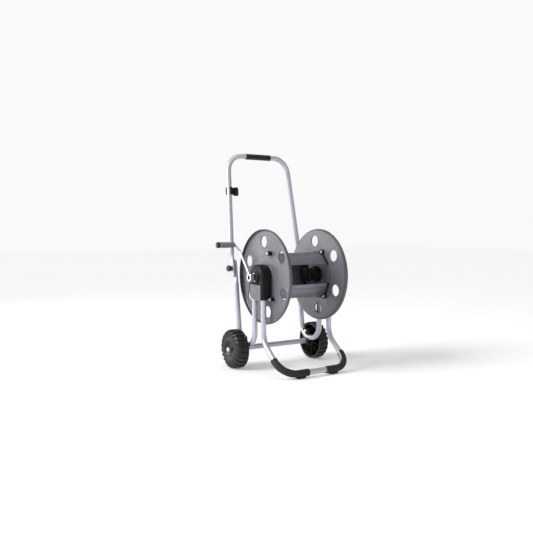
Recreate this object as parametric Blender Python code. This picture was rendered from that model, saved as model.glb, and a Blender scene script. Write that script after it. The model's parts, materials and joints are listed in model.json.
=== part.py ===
"""Garden hose reel cart: a wheeled tube frame that carries a hose drum turned by a crank.

Metres, +Z up.  The ground is Z = 0, the wheels and the push handle are at the rear (+Y), the
foot loop is at the front (-Y) and the crank is on the left (-X).  Sizes are given about the
middle plane of the frame and the drum's axis; the origin is then put under the middle of the
whole cart, on the ground.
"""

from math import atan2, cos, pi, radians, sin, sqrt

import bmesh
import bpy
from mathutils import Matrix, Vector

# ---- fits ------------------------------------------------------------------------------
GAP = 0.0003                 # between pieces that touch
RUN = 0.0004                 # round a shaft that turns
SLIDE = 0.0015               # between a turning face and a fixed one

# ---- drum ------------------------------------------------------------------------------
AXIS_HEIGHT = 0.383
REEL_PHASE = radians(5.8)    # how far the drum has been wound on from its first position
FLANGE_RADIUS = 0.190
DRUM_WIDTH = 0.248           # between the flanges' inner faces
FLANGE_WALL = 0.003
LIP_DEPTH = 0.0155
LIP_WALL = 0.003
HUB_DISC_RADIUS = 0.087
HUB_DISC_STEP = 0.0025
HAND_HOLES = 6
HAND_HOLE_PITCH = 0.1404
HAND_HOLE_RADIUS = 0.023
BEAMS = 3
BEAM_RADIUS = 0.104          # of the tie screws
BEAM_RIDGE = 0.0955           # of a beam's flat outer face from the drum's axis
BEAM_HALF_WIDTH = 0.053
BEAM_FALL = 0.026            # how far a beam's edges lie below its ridge
BEAM_WALL = 0.0028
SOCKET_THICKNESS = 0.008
SOCKET_RIM = 0.003
TIE_EAR_RADIUS = 0.011        # of the round ear that joins a socket to its boss
TIE_BOSS_RADIUS = 0.0075
TIE_BOSS_LENGTH = 0.0195
TIE_SCREW_RADIUS = 0.003
TIE_HEAD_RADIUS = 0.006
TIE_HEAD_HEIGHT = 0.0035

# ---- shafts and bearings ----------------------------------------------------------------
SHAFT_RADIUS = 0.012
SHAFT_STEP = 0.003           # from the shaft down to the nose that the crank hub fits
BUSH_WALL = 0.004
CASING_HALF_WIDTH = 0.050
CASING_DROP = 0.084          # from the drum's axis to the casing's flat bottom
CASING_DEPTH = 0.0445
CASING_WALL = 0.004
CASING_CORNER = 0.017
COVER_THICKNESS = 0.0047
COVER_TOP_DROP = 0.028
COVER_HALF_WIDTH = 0.038
CLIP_THICKNESS = 0.0035
WASHER_THICKNESS = 0.0018
WASHER_WIDTH = 0.005         # of the washer beyond the shaft
SPINDLE_FLANGE_RADIUS = 0.034
SPINDLE_FLANGE_THICKNESS = 0.006

# ---- waterway ----------------------------------------------------------------------------
WATER_BORE = 0.0065
WATER_HUB_RADIUS = 0.031
WATER_HUB_LENGTH = 0.024
OUTLET_Y = 0.060             # from the drum's axis to the hose connector
OUTLET_HALF_HEIGHT = 0.028
OUTLET_BORE = 0.004
OUTLET_LENGTH = 0.026
ELBOW_WALL = 0.007           # of the inlet elbow round the shaft
ELBOW_LENGTH = 0.024
ELBOW_BORE_DEPTH = 0.018
ELBOW_NECK = 0.010
ELBOW_DROP = 0.044
INLET_LENGTH = 0.034

# ---- crank -----------------------------------------------------------------------------
CRANK_THROW = 0.165
CRANK_ANGLE = radians(40)    # from straight up, towards the rear
CRANK_ROD_RADIUS = 0.0045
CRANK_HUB_MARGIN = 0.0045    # of the hub beyond the shaft
CRANK_HUB_LENGTH = 0.0245
CRANK_COLLAR_LENGTH = 0.009
CRANK_SCREW_RADIUS = 0.003
CRANK_OFFSET = 0.010         # how far the arm steps outboard before the grip
GRIP_RADIUS = 0.012
GRIP_LENGTH = 0.069
GRIP_CAP_LENGTH = 0.010

# ---- tube frame --------------------------------------------------------------------------
TUBE_RADIUS = 0.011
TUBE_WALL = 0.0015
FLAT_HALF_THICKNESS = 0.00535
FLAT_HALF_WIDTH = 0.0142
TUBE_INSET = 0.030           # from a bearing casing's inner face to the middle of its tubes
TUBE_EDGE = 0.0016           # of casing left beside the front leg's socket
SIDE_LEG_Y = 0.029
PIVOT_Y = 0.190
PIVOT_RISE = 0.025           # above the drum's axis
LOOP_NEST = 0.0035           # how far the side loop and the axle tube nest into each other
SIDE_LOOP_REAR_Y = 0.148
SIDE_BEND_RADIUS = 0.058
FLAT_ABOVE = 0.036           # flattened end beyond the pivot
FLAT_BELOW = 0.040
PIVOT_BOLT_RADIUS = 0.003
PIVOT_HEAD_RADIUS = 0.008
PIVOT_HEAD_HEIGHT = 0.0035
KNOB_RADIUS = 0.0135
KNOB_LOBES = 6
KNOB_LENGTH = 0.019
FOOT_BAR_Y = -0.175
FOOT_BAR_HEIGHT = 0.0205
FOOT_KNEE_HEIGHT = 0.129
FOOT_KNEE_RADIUS = 0.080
FOOT_CORNER_RADIUS = 0.070

# ---- push handle ---------------------------------------------------------------------------
HANDLE_TOP_HEIGHT = 0.887
HANDLE_TOP_Y = 0.271
HANDLE_HALF_TOP = 0.1483
HANDLE_CORNER_RADIUS = 0.070
GRIP_BAND_LENGTH = 0.124
GRIP_BAND_WALL = 0.0015
CLIP_DROP = 0.152            # from the handle's top to the hose clip's middle
CLIP_TALL = 0.032
CLIP_WALL = 0.0028
CLIP_HOSE_RADIUS = 0.011
CLIP_BRIDGE = 0.0048         # of web between the two springs

# ---- feet ------------------------------------------------------------------------------------
SLEEVE_WALL = 0.0032
SLEEVE_INNER_X = 0.042
SLEEVE_RISE = 0.069          # height at which the sleeve starts on the leg
SLEEVE_OPENING = radians(80)
PAD_X = 0.078
PAD_TOP_LENGTH = 0.042
PAD_FOOT_LENGTH = 0.030
PAD_WIDTH = 0.018

# ---- axle and wheels ---------------------------------------------------------------------------
AXLE_Y = 0.1214
WHEEL_RADIUS = 0.0805
WHEEL_WIDTH = 0.052
WHEEL_LUGS = 22
LUG_DEPTH = 0.0045
WHEEL_CLEARANCE = 0.003     # from the axle bracket to the wheel
WHEEL_RIBS = 10
WHEEL_DISH = 0.012
AXLE_ROD_RADIUS = 0.005
AXLE_CAP_RADIUS = 0.010
AXLE_CAP_OUT = 0.0085
AXLE_TUBE_LAP = 0.003        # of the axle tube's ends below the side frames' tubes
BRACKET_THICKNESS = 0.022
BRACKET_FRONT_Y = 0.100
BRACKET_REAR_Y = 0.142
BRACKET_COVER = 0.023        # of the bracket above the side loop's tube
BRACKET_FOOT = 0.014         # below the axle's centre
BRACKET_BOLT_RADIUS = 0.003
BRACKET_BOLT_HEAD = 0.0075

# ---- faces along X, outwards from the middle plane -----------------------------------------------
FLANGE_IN = DRUM_WIDTH / 2
FLANGE_OUT = FLANGE_IN + FLANGE_WALL
LIP_OUT = FLANGE_IN + LIP_DEPTH
HUB_DISC_OUT = FLANGE_OUT + HUB_DISC_STEP
CASING_IN = HUB_DISC_OUT + SLIDE
CASING_OUT = CASING_IN + CASING_DEPTH
COVER_OUT = CASING_OUT + GAP + COVER_THICKNESS
CLIP_OUT = CASING_OUT + GAP + CLIP_THICKNESS
WASHER_OUT = CLIP_OUT + GAP + WASHER_THICKNESS
CRANK_HUB_IN = WASHER_OUT + GAP
CRANK_HUB_OUT = CRANK_HUB_IN + CRANK_HUB_LENGTH
ARM_X = CRANK_HUB_OUT - 0.008
ELBOW_IN = WASHER_OUT + 2 * GAP
GRIP_IN = ARM_X + CRANK_OFFSET + 0.004
GRIP_OUT = GRIP_IN + GRIP_LENGTH
GRIP_END = GRIP_OUT + GAP + GRIP_CAP_LENGTH
FRAME_HALF_WIDTH = CASING_IN + TUBE_INSET
AXLE_TUBE_HALF = FRAME_HALF_WIDTH - TUBE_RADIUS + AXLE_TUBE_LAP
WHEEL_INNER_X = AXLE_TUBE_HALF + GAP + BRACKET_THICKNESS + WHEEL_CLEARANCE
WHEEL_OUT = WHEEL_INNER_X + WHEEL_WIDTH
AXLE_END = WHEEL_OUT + AXLE_CAP_OUT

SHAFT_NOSE_RADIUS = SHAFT_RADIUS - SHAFT_STEP
WASHER_RADIUS = SHAFT_RADIUS + WASHER_WIDTH
CRANK_HUB_RADIUS = SHAFT_RADIUS + CRANK_HUB_MARGIN
ELBOW_RADIUS = SHAFT_RADIUS + ELBOW_WALL
BUSH_RADIUS = SHAFT_RADIUS + RUN + BUSH_WALL
SLEEVE_RADIUS = TUBE_RADIUS + GAP + SLEEVE_WALL
HANDLE_FLAT_X = FRAME_HALF_WIDTH + 2 * FLAT_HALF_THICKNESS + GAP
PIVOT_HEIGHT = AXIS_HEIGHT + PIVOT_RISE
AXLE_HEIGHT = WHEEL_RADIUS
SIDE_LOOP_HEIGHT = AXLE_HEIGHT + 2 * TUBE_RADIUS - LOOP_NEST
BRACKET_TOP = SIDE_LOOP_HEIGHT + TUBE_RADIUS + BRACKET_COVER
CLIP_HEIGHT = HANDLE_TOP_HEIGHT - CLIP_DROP
FRONT_LEG_Y = TUBE_RADIUS + TUBE_EDGE - CASING_HALF_WIDTH
TUBE_TOP = AXIS_HEIGHT - BUSH_RADIUS - CASING_WALL - 0.004

# the middle of the whole cart, which becomes the origin
MIDDLE_X = (AXLE_END - GRIP_END) / 2
BAND_RADIUS = TUBE_RADIUS + GAP + GRIP_BAND_WALL
MIDDLE_Y = (HANDLE_TOP_Y + BAND_RADIUS + FOOT_BAR_Y - SLEEVE_RADIUS) / 2

TUBE_SIDES = 10
ROUND_SIDES = 20
BEND_STEPS = 6
RIM_SIDES = 48

METAL_PAINT = ((0.58, 0.59, 0.66), 0.35, 0.3)
GREY_PLASTIC = ((0.32, 0.31, 0.34), 0.5, 0.0)
BLACK_PLASTIC = ((0.02, 0.019, 0.018), 0.5, 0.0)
ALUMINIUM = ((0.36, 0.38, 0.43), 0.4, 0.8)
BRIGHT_STEEL = ((0.75, 0.75, 0.77), 0.25, 1.0)
FOOT_RUBBER = ((0.035, 0.033, 0.028), 0.65, 0.0)


# ---- building tools ----------------------------------------------------------------------------


def clear_scene():
    for obj in list(bpy.data.objects):
        bpy.data.objects.remove(obj, do_unlink=True)


def material(name, look):
    colour, roughness, metallic = look
    mat = bpy.data.materials.get(name) or bpy.data.materials.new(name)
    mat.use_nodes = True
    shader = mat.node_tree.nodes["Principled BSDF"]
    shader.inputs["Base Color"].default_value = (*colour, 1)
    shader.inputs["Roughness"].default_value = roughness
    shader.inputs["Metallic"].default_value = metallic
    mat.diffuse_color = (*colour, 1)
    return mat


def pivot_empty(name, place, parent=None):
    """An empty on a joint's axis; place is in the frame's own coordinates."""
    empty = bpy.data.objects.new(name, None)
    bpy.context.collection.objects.link(empty)
    empty.empty_display_size = 0.03
    empty["place"] = place
    if parent:
        empty.parent = parent
        empty.location = Vector(place) - Vector(parent["place"])
    else:
        empty.location = -Vector((MIDDLE_X, MIDDLE_Y, 0)) + Vector(place)
    return empty


def finish(name, bm, look, pivot, sharp=35):
    """Make an object from a mesh given in the frame's coordinates, with its origin on pivot."""
    bmesh.ops.recalc_face_normals(bm, faces=bm.faces)
    bmesh.ops.translate(bm, verts=bm.verts, vec=-Vector(pivot["place"]))
    mesh = bpy.data.meshes.new(name)
    bm.to_mesh(mesh)
    bm.free()
    mesh.shade_smooth()
    mesh.set_sharp_from_angle(angle=radians(sharp))
    obj = bpy.data.objects.new(name, mesh)
    bpy.context.collection.objects.link(obj)
    obj.parent = pivot
    obj.data.materials.append(material(name + "_look", look))
    return obj


def change(target, tool_bm, operation="DIFFERENCE"):
    """Cut, join or trim an object with a hidden tool body given in the frame's coordinates."""
    bmesh.ops.recalc_face_normals(tool_bm, faces=tool_bm.faces)
    bmesh.ops.translate(tool_bm, verts=tool_bm.verts, vec=-Vector(target.parent["place"]))
    count = sum(m.type == "BOOLEAN" for m in target.modifiers)
    mesh = bpy.data.meshes.new(f"{target.name}_tool_{count}")
    tool_bm.to_mesh(mesh)
    tool_bm.free()
    tool = bpy.data.objects.new(mesh.name, mesh)
    bpy.context.collection.objects.link(tool)
    tool.parent = target.parent
    tool.hide_render = True
    tool.display_type = "WIRE"
    modifier = target.modifiers.new(f"tool_{count}", "BOOLEAN")
    modifier.operation = operation
    modifier.object = tool
    return tool


def box(low, high):
    bm = bmesh.new()
    size = Vector(high) - Vector(low)
    middle = (Vector(high) + Vector(low)) / 2
    bmesh.ops.create_cube(bm, size=1, matrix=Matrix.Translation(middle) @ Matrix.Diagonal((*size, 1)))
    return bm


def rod(start, end, radius, sides=ROUND_SIDES, end_radius=None):
    """A solid cylinder or cone between two points."""
    bm = bmesh.new()
    start, end = Vector(start), Vector(end)
    turn = (end - start).to_track_quat("Z", "Y").to_matrix().to_4x4()
    bmesh.ops.create_cone(
        bm, cap_ends=True, segments=sides, radius1=radius, radius2=end_radius or radius,
        depth=(end - start).length, matrix=Matrix.Translation((start + end) / 2) @ turn)
    return bm


def turned(profile, centre, sides=ROUND_SIDES):
    """Spin a closed outline of (along X, radius) points round a line parallel to X."""
    bm = bmesh.new()
    verts = [bm.verts.new((x, 0, r)) for x, r in profile]
    edges = [bm.edges.new((a, b)) for a, b in zip(verts, verts[1:] + verts[:1])
             if a.co.z > 0 or b.co.z > 0]
    bmesh.ops.spin(bm, geom=verts + edges, cent=(0, 0, 0), axis=(1, 0, 0), angle=2 * pi,
                   steps=sides, use_merge=True, use_duplicate=False)
    bmesh.ops.remove_doubles(bm, verts=bm.verts, dist=1e-6)
    bmesh.ops.translate(bm, verts=bm.verts, vec=(0, centre[0], centre[1]))
    return bm


def ring(x_a, x_b, inner, outer, centre, sides=ROUND_SIDES):
    return turned([(x_a, inner), (x_b, inner), (x_b, outer), (x_a, outer)], centre, sides)


def slab(outline, x_a, x_b):
    """Extrude a closed (Y, Z) outline along X."""
    bm = bmesh.new()
    face = bm.faces.new([bm.verts.new((x_a, y, z)) for y, z in outline])
    grown = bmesh.ops.extrude_face_region(bm, geom=[face])
    moved = [g for g in grown["geom"] if isinstance(g, bmesh.types.BMVert)]
    bmesh.ops.translate(bm, verts=moved, vec=(x_b - x_a, 0, 0))
    return bm


def arc(centre, radius, start, end, steps):
    return [(centre[0] + radius * cos(start + (end - start) * i / steps),
             centre[1] + radius * sin(start + (end - start) * i / steps)) for i in range(steps + 1)]


def bent_line(corners, radii, steps=BEND_STEPS):
    """The corner points of a bent tube's middle line, with each corner rounded to its radius."""
    corners = [Vector(c) for c in corners]
    points = [corners[0]]
    for before, corner, after, radius in zip(corners, corners[1:], corners[2:], radii):
        a, b = (before - corner).normalized(), (after - corner).normalized()
        half = a.angle(b) / 2
        reach = radius / max(1e-9, sin(half) / cos(half))
        middle = corner + (a + b).normalized() * (radius / sin(half))
        start, end = corner + a * reach - middle, corner + b * reach - middle
        sweep = start.angle(end)
        parts = max(2, round(steps * min(1, 2 * sweep / pi)))
        for i in range(parts + 1):
            share = i / parts
            points.append(middle + (start * sin((1 - share) * sweep) + end * sin(share * sweep))
                          / sin(sweep))
    points.append(corners[-1])
    return points


def frames_along(points, side):
    """Directions across a middle line at each point: one near the given side, and one square to it."""
    found = []
    for i, point in enumerate(points):
        back = (point - points[i - 1]).normalized() if i else None
        fore = (points[i + 1] - point).normalized() if i < len(points) - 1 else None
        along = ((back or fore) + (fore or back)).normalized()
        across = (side - along * side.dot(along)).normalized()
        stretch = 1 / max(0.5, along.dot(fore or back))
        found.append((point, across, along.cross(across), stretch))
        side = across
    return found


def tube(points, radius, wall=None, side=(1, 0, 0), sides=TUBE_SIDES, shape=None):
    """A swept tube; with a wall it is open at both ends.  shape(i, angle) gives an offset pair."""
    bm = bmesh.new()
    stations = frames_along([Vector(p) for p in points], Vector(side))

    def skin(inset):
        loops = []
        for i, (point, across, square, _) in enumerate(stations):
            loop = []
            for k in range(sides):
                angle = 2 * pi * (k + 0.5) / sides
                u, v = shape(i, angle, inset) if shape else (
                    (radius - inset) * cos(angle), (radius - inset) * sin(angle))
                loop.append(bm.verts.new(point + across * u + square * v))
            loops.append(loop)
        for low, high in zip(loops, loops[1:]):
            for k in range(sides):
                bm.faces.new((low[k], low[(k + 1) % sides], high[(k + 1) % sides], high[k]))
        return loops

    outer = skin(0)
    if wall:
        inner = skin(wall)
        for end in (0, -1):
            for k in range(sides):
                n = (k + 1) % sides
                bm.faces.new((outer[end][k], outer[end][n], inner[end][n], inner[end][k]))
    else:
        bm.faces.new(outer[0])
        bm.faces.new(outer[-1])
    return bm


def channel(points, inner, outer, opening, facing, side, sides=12):
    """A C-section swept along a line, open over an angle round the facing direction."""
    bm = bmesh.new()
    loops = []
    inner /= cos((2 * pi - opening) / (2 * sides))    # the flats clear the round tube inside
    for point, across, square, _ in frames_along([Vector(p) for p in points], Vector(side)):
        start = facing + opening / 2
        sweep = 2 * pi - opening
        loop = []
        for radius, order in ((outer, range(sides + 1)), (inner, range(sides, -1, -1))):
            for k in order:
                angle = start + sweep * k / sides
                loop.append(bm.verts.new(point + across * radius * cos(angle)
                                         + square * radius * sin(angle)))
        loops.append(loop)
    n = len(loops[0])
    for low, high in zip(loops, loops[1:]):
        for k in range(n):
            bm.faces.new((low[k], low[(k + 1) % n], high[(k + 1) % n], high[k]))
    bm.faces.new(loops[0])
    bm.faces.new(loops[-1])
    return bm


def flattened(points, start, end, taper):
    """A tube section that is round, and pressed flat between two points of its middle line."""
    lengths = [0.0]
    for a, b in zip(points, points[1:]):
        lengths.append(lengths[-1] + (Vector(b) - Vector(a)).length)

    def section(i, angle, inset):
        s = lengths[i]
        away = max(start - s, s - end, 0) / taper
        flat = max(0.0, 1 - away)
        flat = flat * flat * (3 - 2 * flat)
        c, v = cos(angle), sin(angle)
        edge = abs(c) ** 0.35 * (1 if c > 0 else -1)
        thin, wide = FLAT_HALF_THICKNESS - inset, FLAT_HALF_WIDTH - inset
        round_u, round_v = (TUBE_RADIUS - inset) * c, (TUBE_RADIUS - inset) * v
        return (round_u + (thin * edge - round_u) * flat, round_v + (wide * v - round_v) * flat)

    return section


def with_points_between(points, stops):
    """Add points to a line at the given distances from its start."""
    result, run = [Vector(points[0])], 0.0
    for a, b in zip(points, points[1:]):
        a, b = Vector(a), Vector(b)
        step = (b - a).length
        for stop in stops:
            if run + 1e-4 < stop < run + step - 1e-4:
                result.append(a + (b - a) * ((stop - run) / step))
        result.append(b)
        run += step
    return result


def length_of(points):
    return sum((Vector(b) - Vector(a)).length for a, b in zip(points, points[1:]))


def flip_x(points):
    return [(-p[0], p[1], p[2]) for p in points]


# ---- middle lines ---------------------------------------------------------------------------------


def rear_slope():
    """Y gained per metre of height along the side frame's rear leg."""
    return (PIVOT_Y - SIDE_LOOP_REAR_Y) / (PIVOT_HEIGHT - SIDE_LOOP_HEIGHT)


def side_frame_line():
    slope = rear_slope()
    x = FRAME_HALF_WIDTH
    top = (x, PIVOT_Y + slope * FLAT_ABOVE, PIVOT_HEIGHT + FLAT_ABOVE)
    corners = [(x, SIDE_LEG_Y, TUBE_TOP), (x, SIDE_LEG_Y, SIDE_LOOP_HEIGHT),
               (x, SIDE_LOOP_REAR_Y, SIDE_LOOP_HEIGHT), top]
    line = bent_line(corners, [SIDE_BEND_RADIUS, SIDE_BEND_RADIUS])
    full = length_of(line)
    past = FLAT_ABOVE * sqrt(1 + slope * slope)
    stops = [full - past - FLAT_BELOW - 0.03, full - past - FLAT_BELOW - 0.015,
             full - past - FLAT_BELOW]
    return with_points_between(line, stops), full, past


def handle_line():
    slope = (HANDLE_TOP_Y - PIVOT_Y) / (HANDLE_TOP_HEIGHT - PIVOT_HEIGHT)
    x = HANDLE_FLAT_X
    knee = 0.060

    def leg(height):
        return PIVOT_Y + slope * (height - PIVOT_HEIGHT)

    left = [(-x, leg(PIVOT_HEIGHT - FLAT_ABOVE), PIVOT_HEIGHT - FLAT_ABOVE),
            (-x, leg(PIVOT_HEIGHT + knee), PIVOT_HEIGHT + knee),
            (-HANDLE_HALF_TOP, HANDLE_TOP_Y, HANDLE_TOP_HEIGHT)]
    corners = left + flip_x(left[::-1])
    line = bent_line(corners, [0.30, HANDLE_CORNER_RADIUS, HANDLE_CORNER_RADIUS, 0.30])
    full = length_of(line)
    flat = FLAT_ABOVE + FLAT_BELOW
    stops = [flat, flat + 0.015, flat + 0.03]
    return with_points_between(line, stops + [full - s for s in stops[::-1]]), full


def foot_line():
    x = FRAME_HALF_WIDTH
    left = [(-x, FRONT_LEG_Y, TUBE_TOP), (-x, FRONT_LEG_Y, FOOT_KNEE_HEIGHT),
            (-x, FOOT_BAR_Y, FOOT_BAR_HEIGHT)]
    radii = [FOOT_KNEE_RADIUS, FOOT_CORNER_RADIUS, FOOT_CORNER_RADIUS, FOOT_KNEE_RADIUS]
    return bent_line(left + flip_x(left[::-1]), radii)


def polar(radius, angle):
    """(Y, Z) at an angle measured up from the front, about the drum's axis."""
    return (-radius * cos(angle), AXIS_HEIGHT + radius * sin(angle))


def beam_angle(index):
    return 2 * pi * index / BEAMS + pi / 3 + REEL_PHASE


def beam_outline(angle, grow=0.0):
    """A beam's chevron section, in (Y, Z), with its edges turned in."""
    half = BEAM_HALF_WIDTH + grow
    ridge = BEAM_RIDGE + grow
    wall = BEAM_WALL + 2 * grow
    fall = BEAM_FALL / BEAM_HALF_WIDTH
    flat = 0.016
    upper = [(-half, ridge - fall * (half - flat)), (-flat, ridge), (flat, ridge),
             (half, ridge - fall * (half - flat))]
    lower = [(t * (1 - wall / half * 0.9), r - wall) for t, r in upper[::-1]]
    radial = Vector((-cos(angle), sin(angle)))
    tangent = Vector((sin(angle), cos(angle)))
    return [tuple(radial * r + tangent * t + Vector((0, AXIS_HEIGHT))) for t, r in upper + lower]


# ---- frame -----------------------------------------------------------------------------------------


def side_frames(frame):
    points, full, past = side_frame_line()
    shape = flattened(points, full - past - FLAT_BELOW, full + 1, 0.03)
    for name, line in (("left", flip_x(points)), ("right", points)):
        obj = finish(f"{name}_side_frame", tube(line, TUBE_RADIUS, TUBE_WALL, shape=shape),
                     METAL_PAINT, frame)
        sign = -1 if name == "left" else 1
        change(obj, rod((sign * (FRAME_HALF_WIDTH - 0.02), PIVOT_Y, PIVOT_HEIGHT),
                        (sign * (FRAME_HALF_WIDTH + 0.02), PIVOT_Y, PIVOT_HEIGHT),
                        PIVOT_BOLT_RADIUS + GAP, 16))


def front_leg_loop(frame):
    finish("front_leg_loop", tube(foot_line(), TUBE_RADIUS, TUBE_WALL), METAL_PAINT, frame)


def sleeve_line():
    """The middle line of the right foot sleeve, from the leg round the corner to the bar."""
    x = FRAME_HALF_WIDTH
    slope = (FRONT_LEG_Y - FOOT_BAR_Y) / (FOOT_KNEE_HEIGHT - FOOT_BAR_HEIGHT)
    start = (x, FOOT_BAR_Y + slope * (SLEEVE_RISE - FOOT_BAR_HEIGHT), SLEEVE_RISE)
    corners = [start, (x, FOOT_BAR_Y, FOOT_BAR_HEIGHT), (SLEEVE_INNER_X, FOOT_BAR_Y, FOOT_BAR_HEIGHT)]
    return bent_line(corners, [FOOT_CORNER_RADIUS])


def foot_sleeves(frame):
    line = sleeve_line()
    leg = (line[1] - line[0]).normalized()
    bar = (line[-1] - line[-2]).normalized()
    plane = leg.cross(bar).normalized()
    for name, sign in (("left", -1), ("right", 1)):
        points = [Vector((sign * p.x, p.y, p.z)) for p in line]
        side = Vector((sign * plane.x, plane.y, plane.z))
        facing = pi / 2 if sign < 0 else -pi / 2
        bm = channel(points, TUBE_RADIUS + GAP, SLEEVE_RADIUS, SLEEVE_OPENING, facing, side)
        obj = finish(f"{name}_foot_sleeve", bm, FOOT_RUBBER, frame)
        top = FOOT_BAR_HEIGHT - TUBE_RADIUS - GAP - 0.0006
        low, high = PAD_FOOT_LENGTH / 2, PAD_TOP_LENGTH / 2
        pad = bmesh.new()
        rows = []
        for z, half, width in ((0, low, PAD_WIDTH / 2), (top, high, PAD_WIDTH / 2 + 0.002)):
            rows.append([pad.verts.new((sign * PAD_X + sx * half, FOOT_BAR_Y + sy * width, z))
                         for sx, sy in ((-1, -1), (1, -1), (1, 1), (-1, 1))])
        pad.faces.new(rows[0])
        pad.faces.new(rows[1])
        for k in range(4):
            n = (k + 1) % 4
            pad.faces.new((rows[0][k], rows[0][n], rows[1][n], rows[1][k]))
        change(obj, pad, "UNION")


def axle(frame):
    centre = (AXLE_Y, AXLE_HEIGHT)
    finish("axle_tube", ring(-AXLE_TUBE_HALF, AXLE_TUBE_HALF, TUBE_RADIUS - TUBE_WALL, TUBE_RADIUS,
                             centre, 16), METAL_PAINT, frame)
    reach = AXLE_END - 0.003
    finish("axle_rod", rod((-reach, *centre), (reach, *centre), AXLE_ROD_RADIUS, 16),
           BRIGHT_STEEL, frame)
    loop, _, _ = side_frame_line()
    for name, sign in (("left", -1), ("right", 1)):
        inner = sign * (AXLE_TUBE_HALF + GAP)
        outer = sign * (AXLE_TUBE_HALF + GAP + BRACKET_THICKNESS)
        foot = AXLE_HEIGHT - BRACKET_FOOT
        nose = 0.010
        outline = ([(BRACKET_FRONT_Y + nose, foot), (BRACKET_REAR_Y - nose, foot),
                    (BRACKET_REAR_Y, foot + nose), (BRACKET_REAR_Y, BRACKET_TOP - nose),
                    (BRACKET_REAR_Y - nose, BRACKET_TOP), (BRACKET_FRONT_Y + nose, BRACKET_TOP),
                    (BRACKET_FRONT_Y, BRACKET_TOP - nose), (BRACKET_FRONT_Y, foot + nose)])
        obj = finish(f"{name}_axle_bracket", slab(outline, inner, outer), BLACK_PLASTIC, frame)
        line = flip_x(loop) if sign < 0 else loop
        change(obj, tube(line, TUBE_RADIUS + GAP + 0.0002))
        change(obj, rod((inner - sign * 0.01, *centre), (outer + sign * 0.01, *centre),
                        AXLE_ROD_RADIUS + GAP, 16))
        bolt = (BRACKET_FRONT_Y + 0.021, BRACKET_TOP - 0.010)
        change(obj, rod((inner - sign * 0.01, *bolt), (outer - sign * 0.004, *bolt),
                        BRACKET_BOLT_RADIUS + GAP, 12))
        end = inner - sign * GAP
        tip = outer - sign * 0.0045
        head = [(end - sign * 0.004, 0), (end - sign * 0.004, BRACKET_BOLT_HEAD - 0.0015),
                (end - sign * 0.0025, BRACKET_BOLT_HEAD), (end, BRACKET_BOLT_HEAD),
                (end, BRACKET_BOLT_RADIUS), (tip, BRACKET_BOLT_RADIUS), (tip, 0)]
        finish(f"{name}_bracket_bolt", turned(head, bolt, 12), BRIGHT_STEEL, frame)
        cap_in = sign * (WHEEL_OUT - WHEEL_DISH + 2 * GAP)
        cap_out = sign * AXLE_END
        cap = [(cap_in, AXLE_ROD_RADIUS + GAP), (cap_in, AXLE_CAP_RADIUS),
               (cap_out - sign * 0.003, AXLE_CAP_RADIUS), (cap_out, AXLE_CAP_RADIUS - 0.003),
               (cap_out, 0), (cap_out - sign * 0.0025, 0),
               (cap_out - sign * 0.0025, AXLE_ROD_RADIUS + GAP)]
        finish(f"{name}_axle_cap", turned(cap, centre, 16), BRIGHT_STEEL, frame)


# ---- bearings ----------------------------------------------------------------------------------------


def casing_outline(inset=0.0):
    """Arch over the shaft with straight sides and rounded bottom corners."""
    half = CASING_HALF_WIDTH - inset
    foot = AXIS_HEIGHT - CASING_DROP + inset
    corner = CASING_CORNER - inset
    points = arc((0, AXIS_HEIGHT), half, 0, pi, 12)
    points += arc((-half + corner, foot + corner), corner, pi, 1.5 * pi, 4)
    points += arc((half - corner, foot + corner), corner, 1.5 * pi, 2 * pi, 4)
    return points


def bearing_casings(frame):
    """Each casing is a shell, open towards the drum, with sockets for two tube ends and a bush."""
    centre = (0, AXIS_HEIGHT)
    foot = AXIS_HEIGHT - CASING_DROP
    for name, sign in (("left", -1), ("right", 1)):
        obj = finish(f"{name}_bearing_casing",
                     slab(casing_outline(), sign * CASING_IN, sign * CASING_OUT),
                     BLACK_PLASTIC, frame)
        change(obj, slab(casing_outline(CASING_WALL), sign * (CASING_IN - 0.01),
                         sign * (CASING_OUT - CASING_WALL)))
        change(obj, rod((sign * (CASING_IN + 0.001), *centre), (sign * (CASING_OUT - 0.002), *centre),
                        BUSH_RADIUS + GAP + CASING_WALL), "UNION")
        for y in (FRONT_LEG_Y, SIDE_LEG_Y):
            x = sign * FRAME_HALF_WIDTH
            reach = TUBE_RADIUS + CASING_WALL
            wall = sign * (CASING_OUT - CASING_WALL / 2)
            low = (min(x - sign * reach, wall), max(y - reach, CASING_WALL / 2 - CASING_HALF_WIDTH),
                   foot + CASING_WALL / 2)
            high = (max(x - sign * reach, wall), min(y + reach, CASING_HALF_WIDTH - CASING_WALL / 2),
                    TUBE_TOP + CASING_WALL)
            change(obj, box(low, high), "UNION")
        for y in (FRONT_LEG_Y, SIDE_LEG_Y):
            x = sign * FRAME_HALF_WIDTH
            change(obj, rod((x, y, foot - 0.02), (x, y, TUBE_TOP + GAP), TUBE_RADIUS + GAP,
                            TUBE_SIDES * 2))
        change(obj, rod((sign * (CASING_IN - 0.01), *centre), (sign * (CASING_OUT + 0.01), *centre),
                        BUSH_RADIUS + GAP))
        finish(f"{name}_bearing_bush",
               ring(sign * (CASING_IN + 0.001), sign * CASING_OUT, SHAFT_RADIUS + RUN, BUSH_RADIUS,
                    centre), BRIGHT_STEEL, frame)


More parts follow.
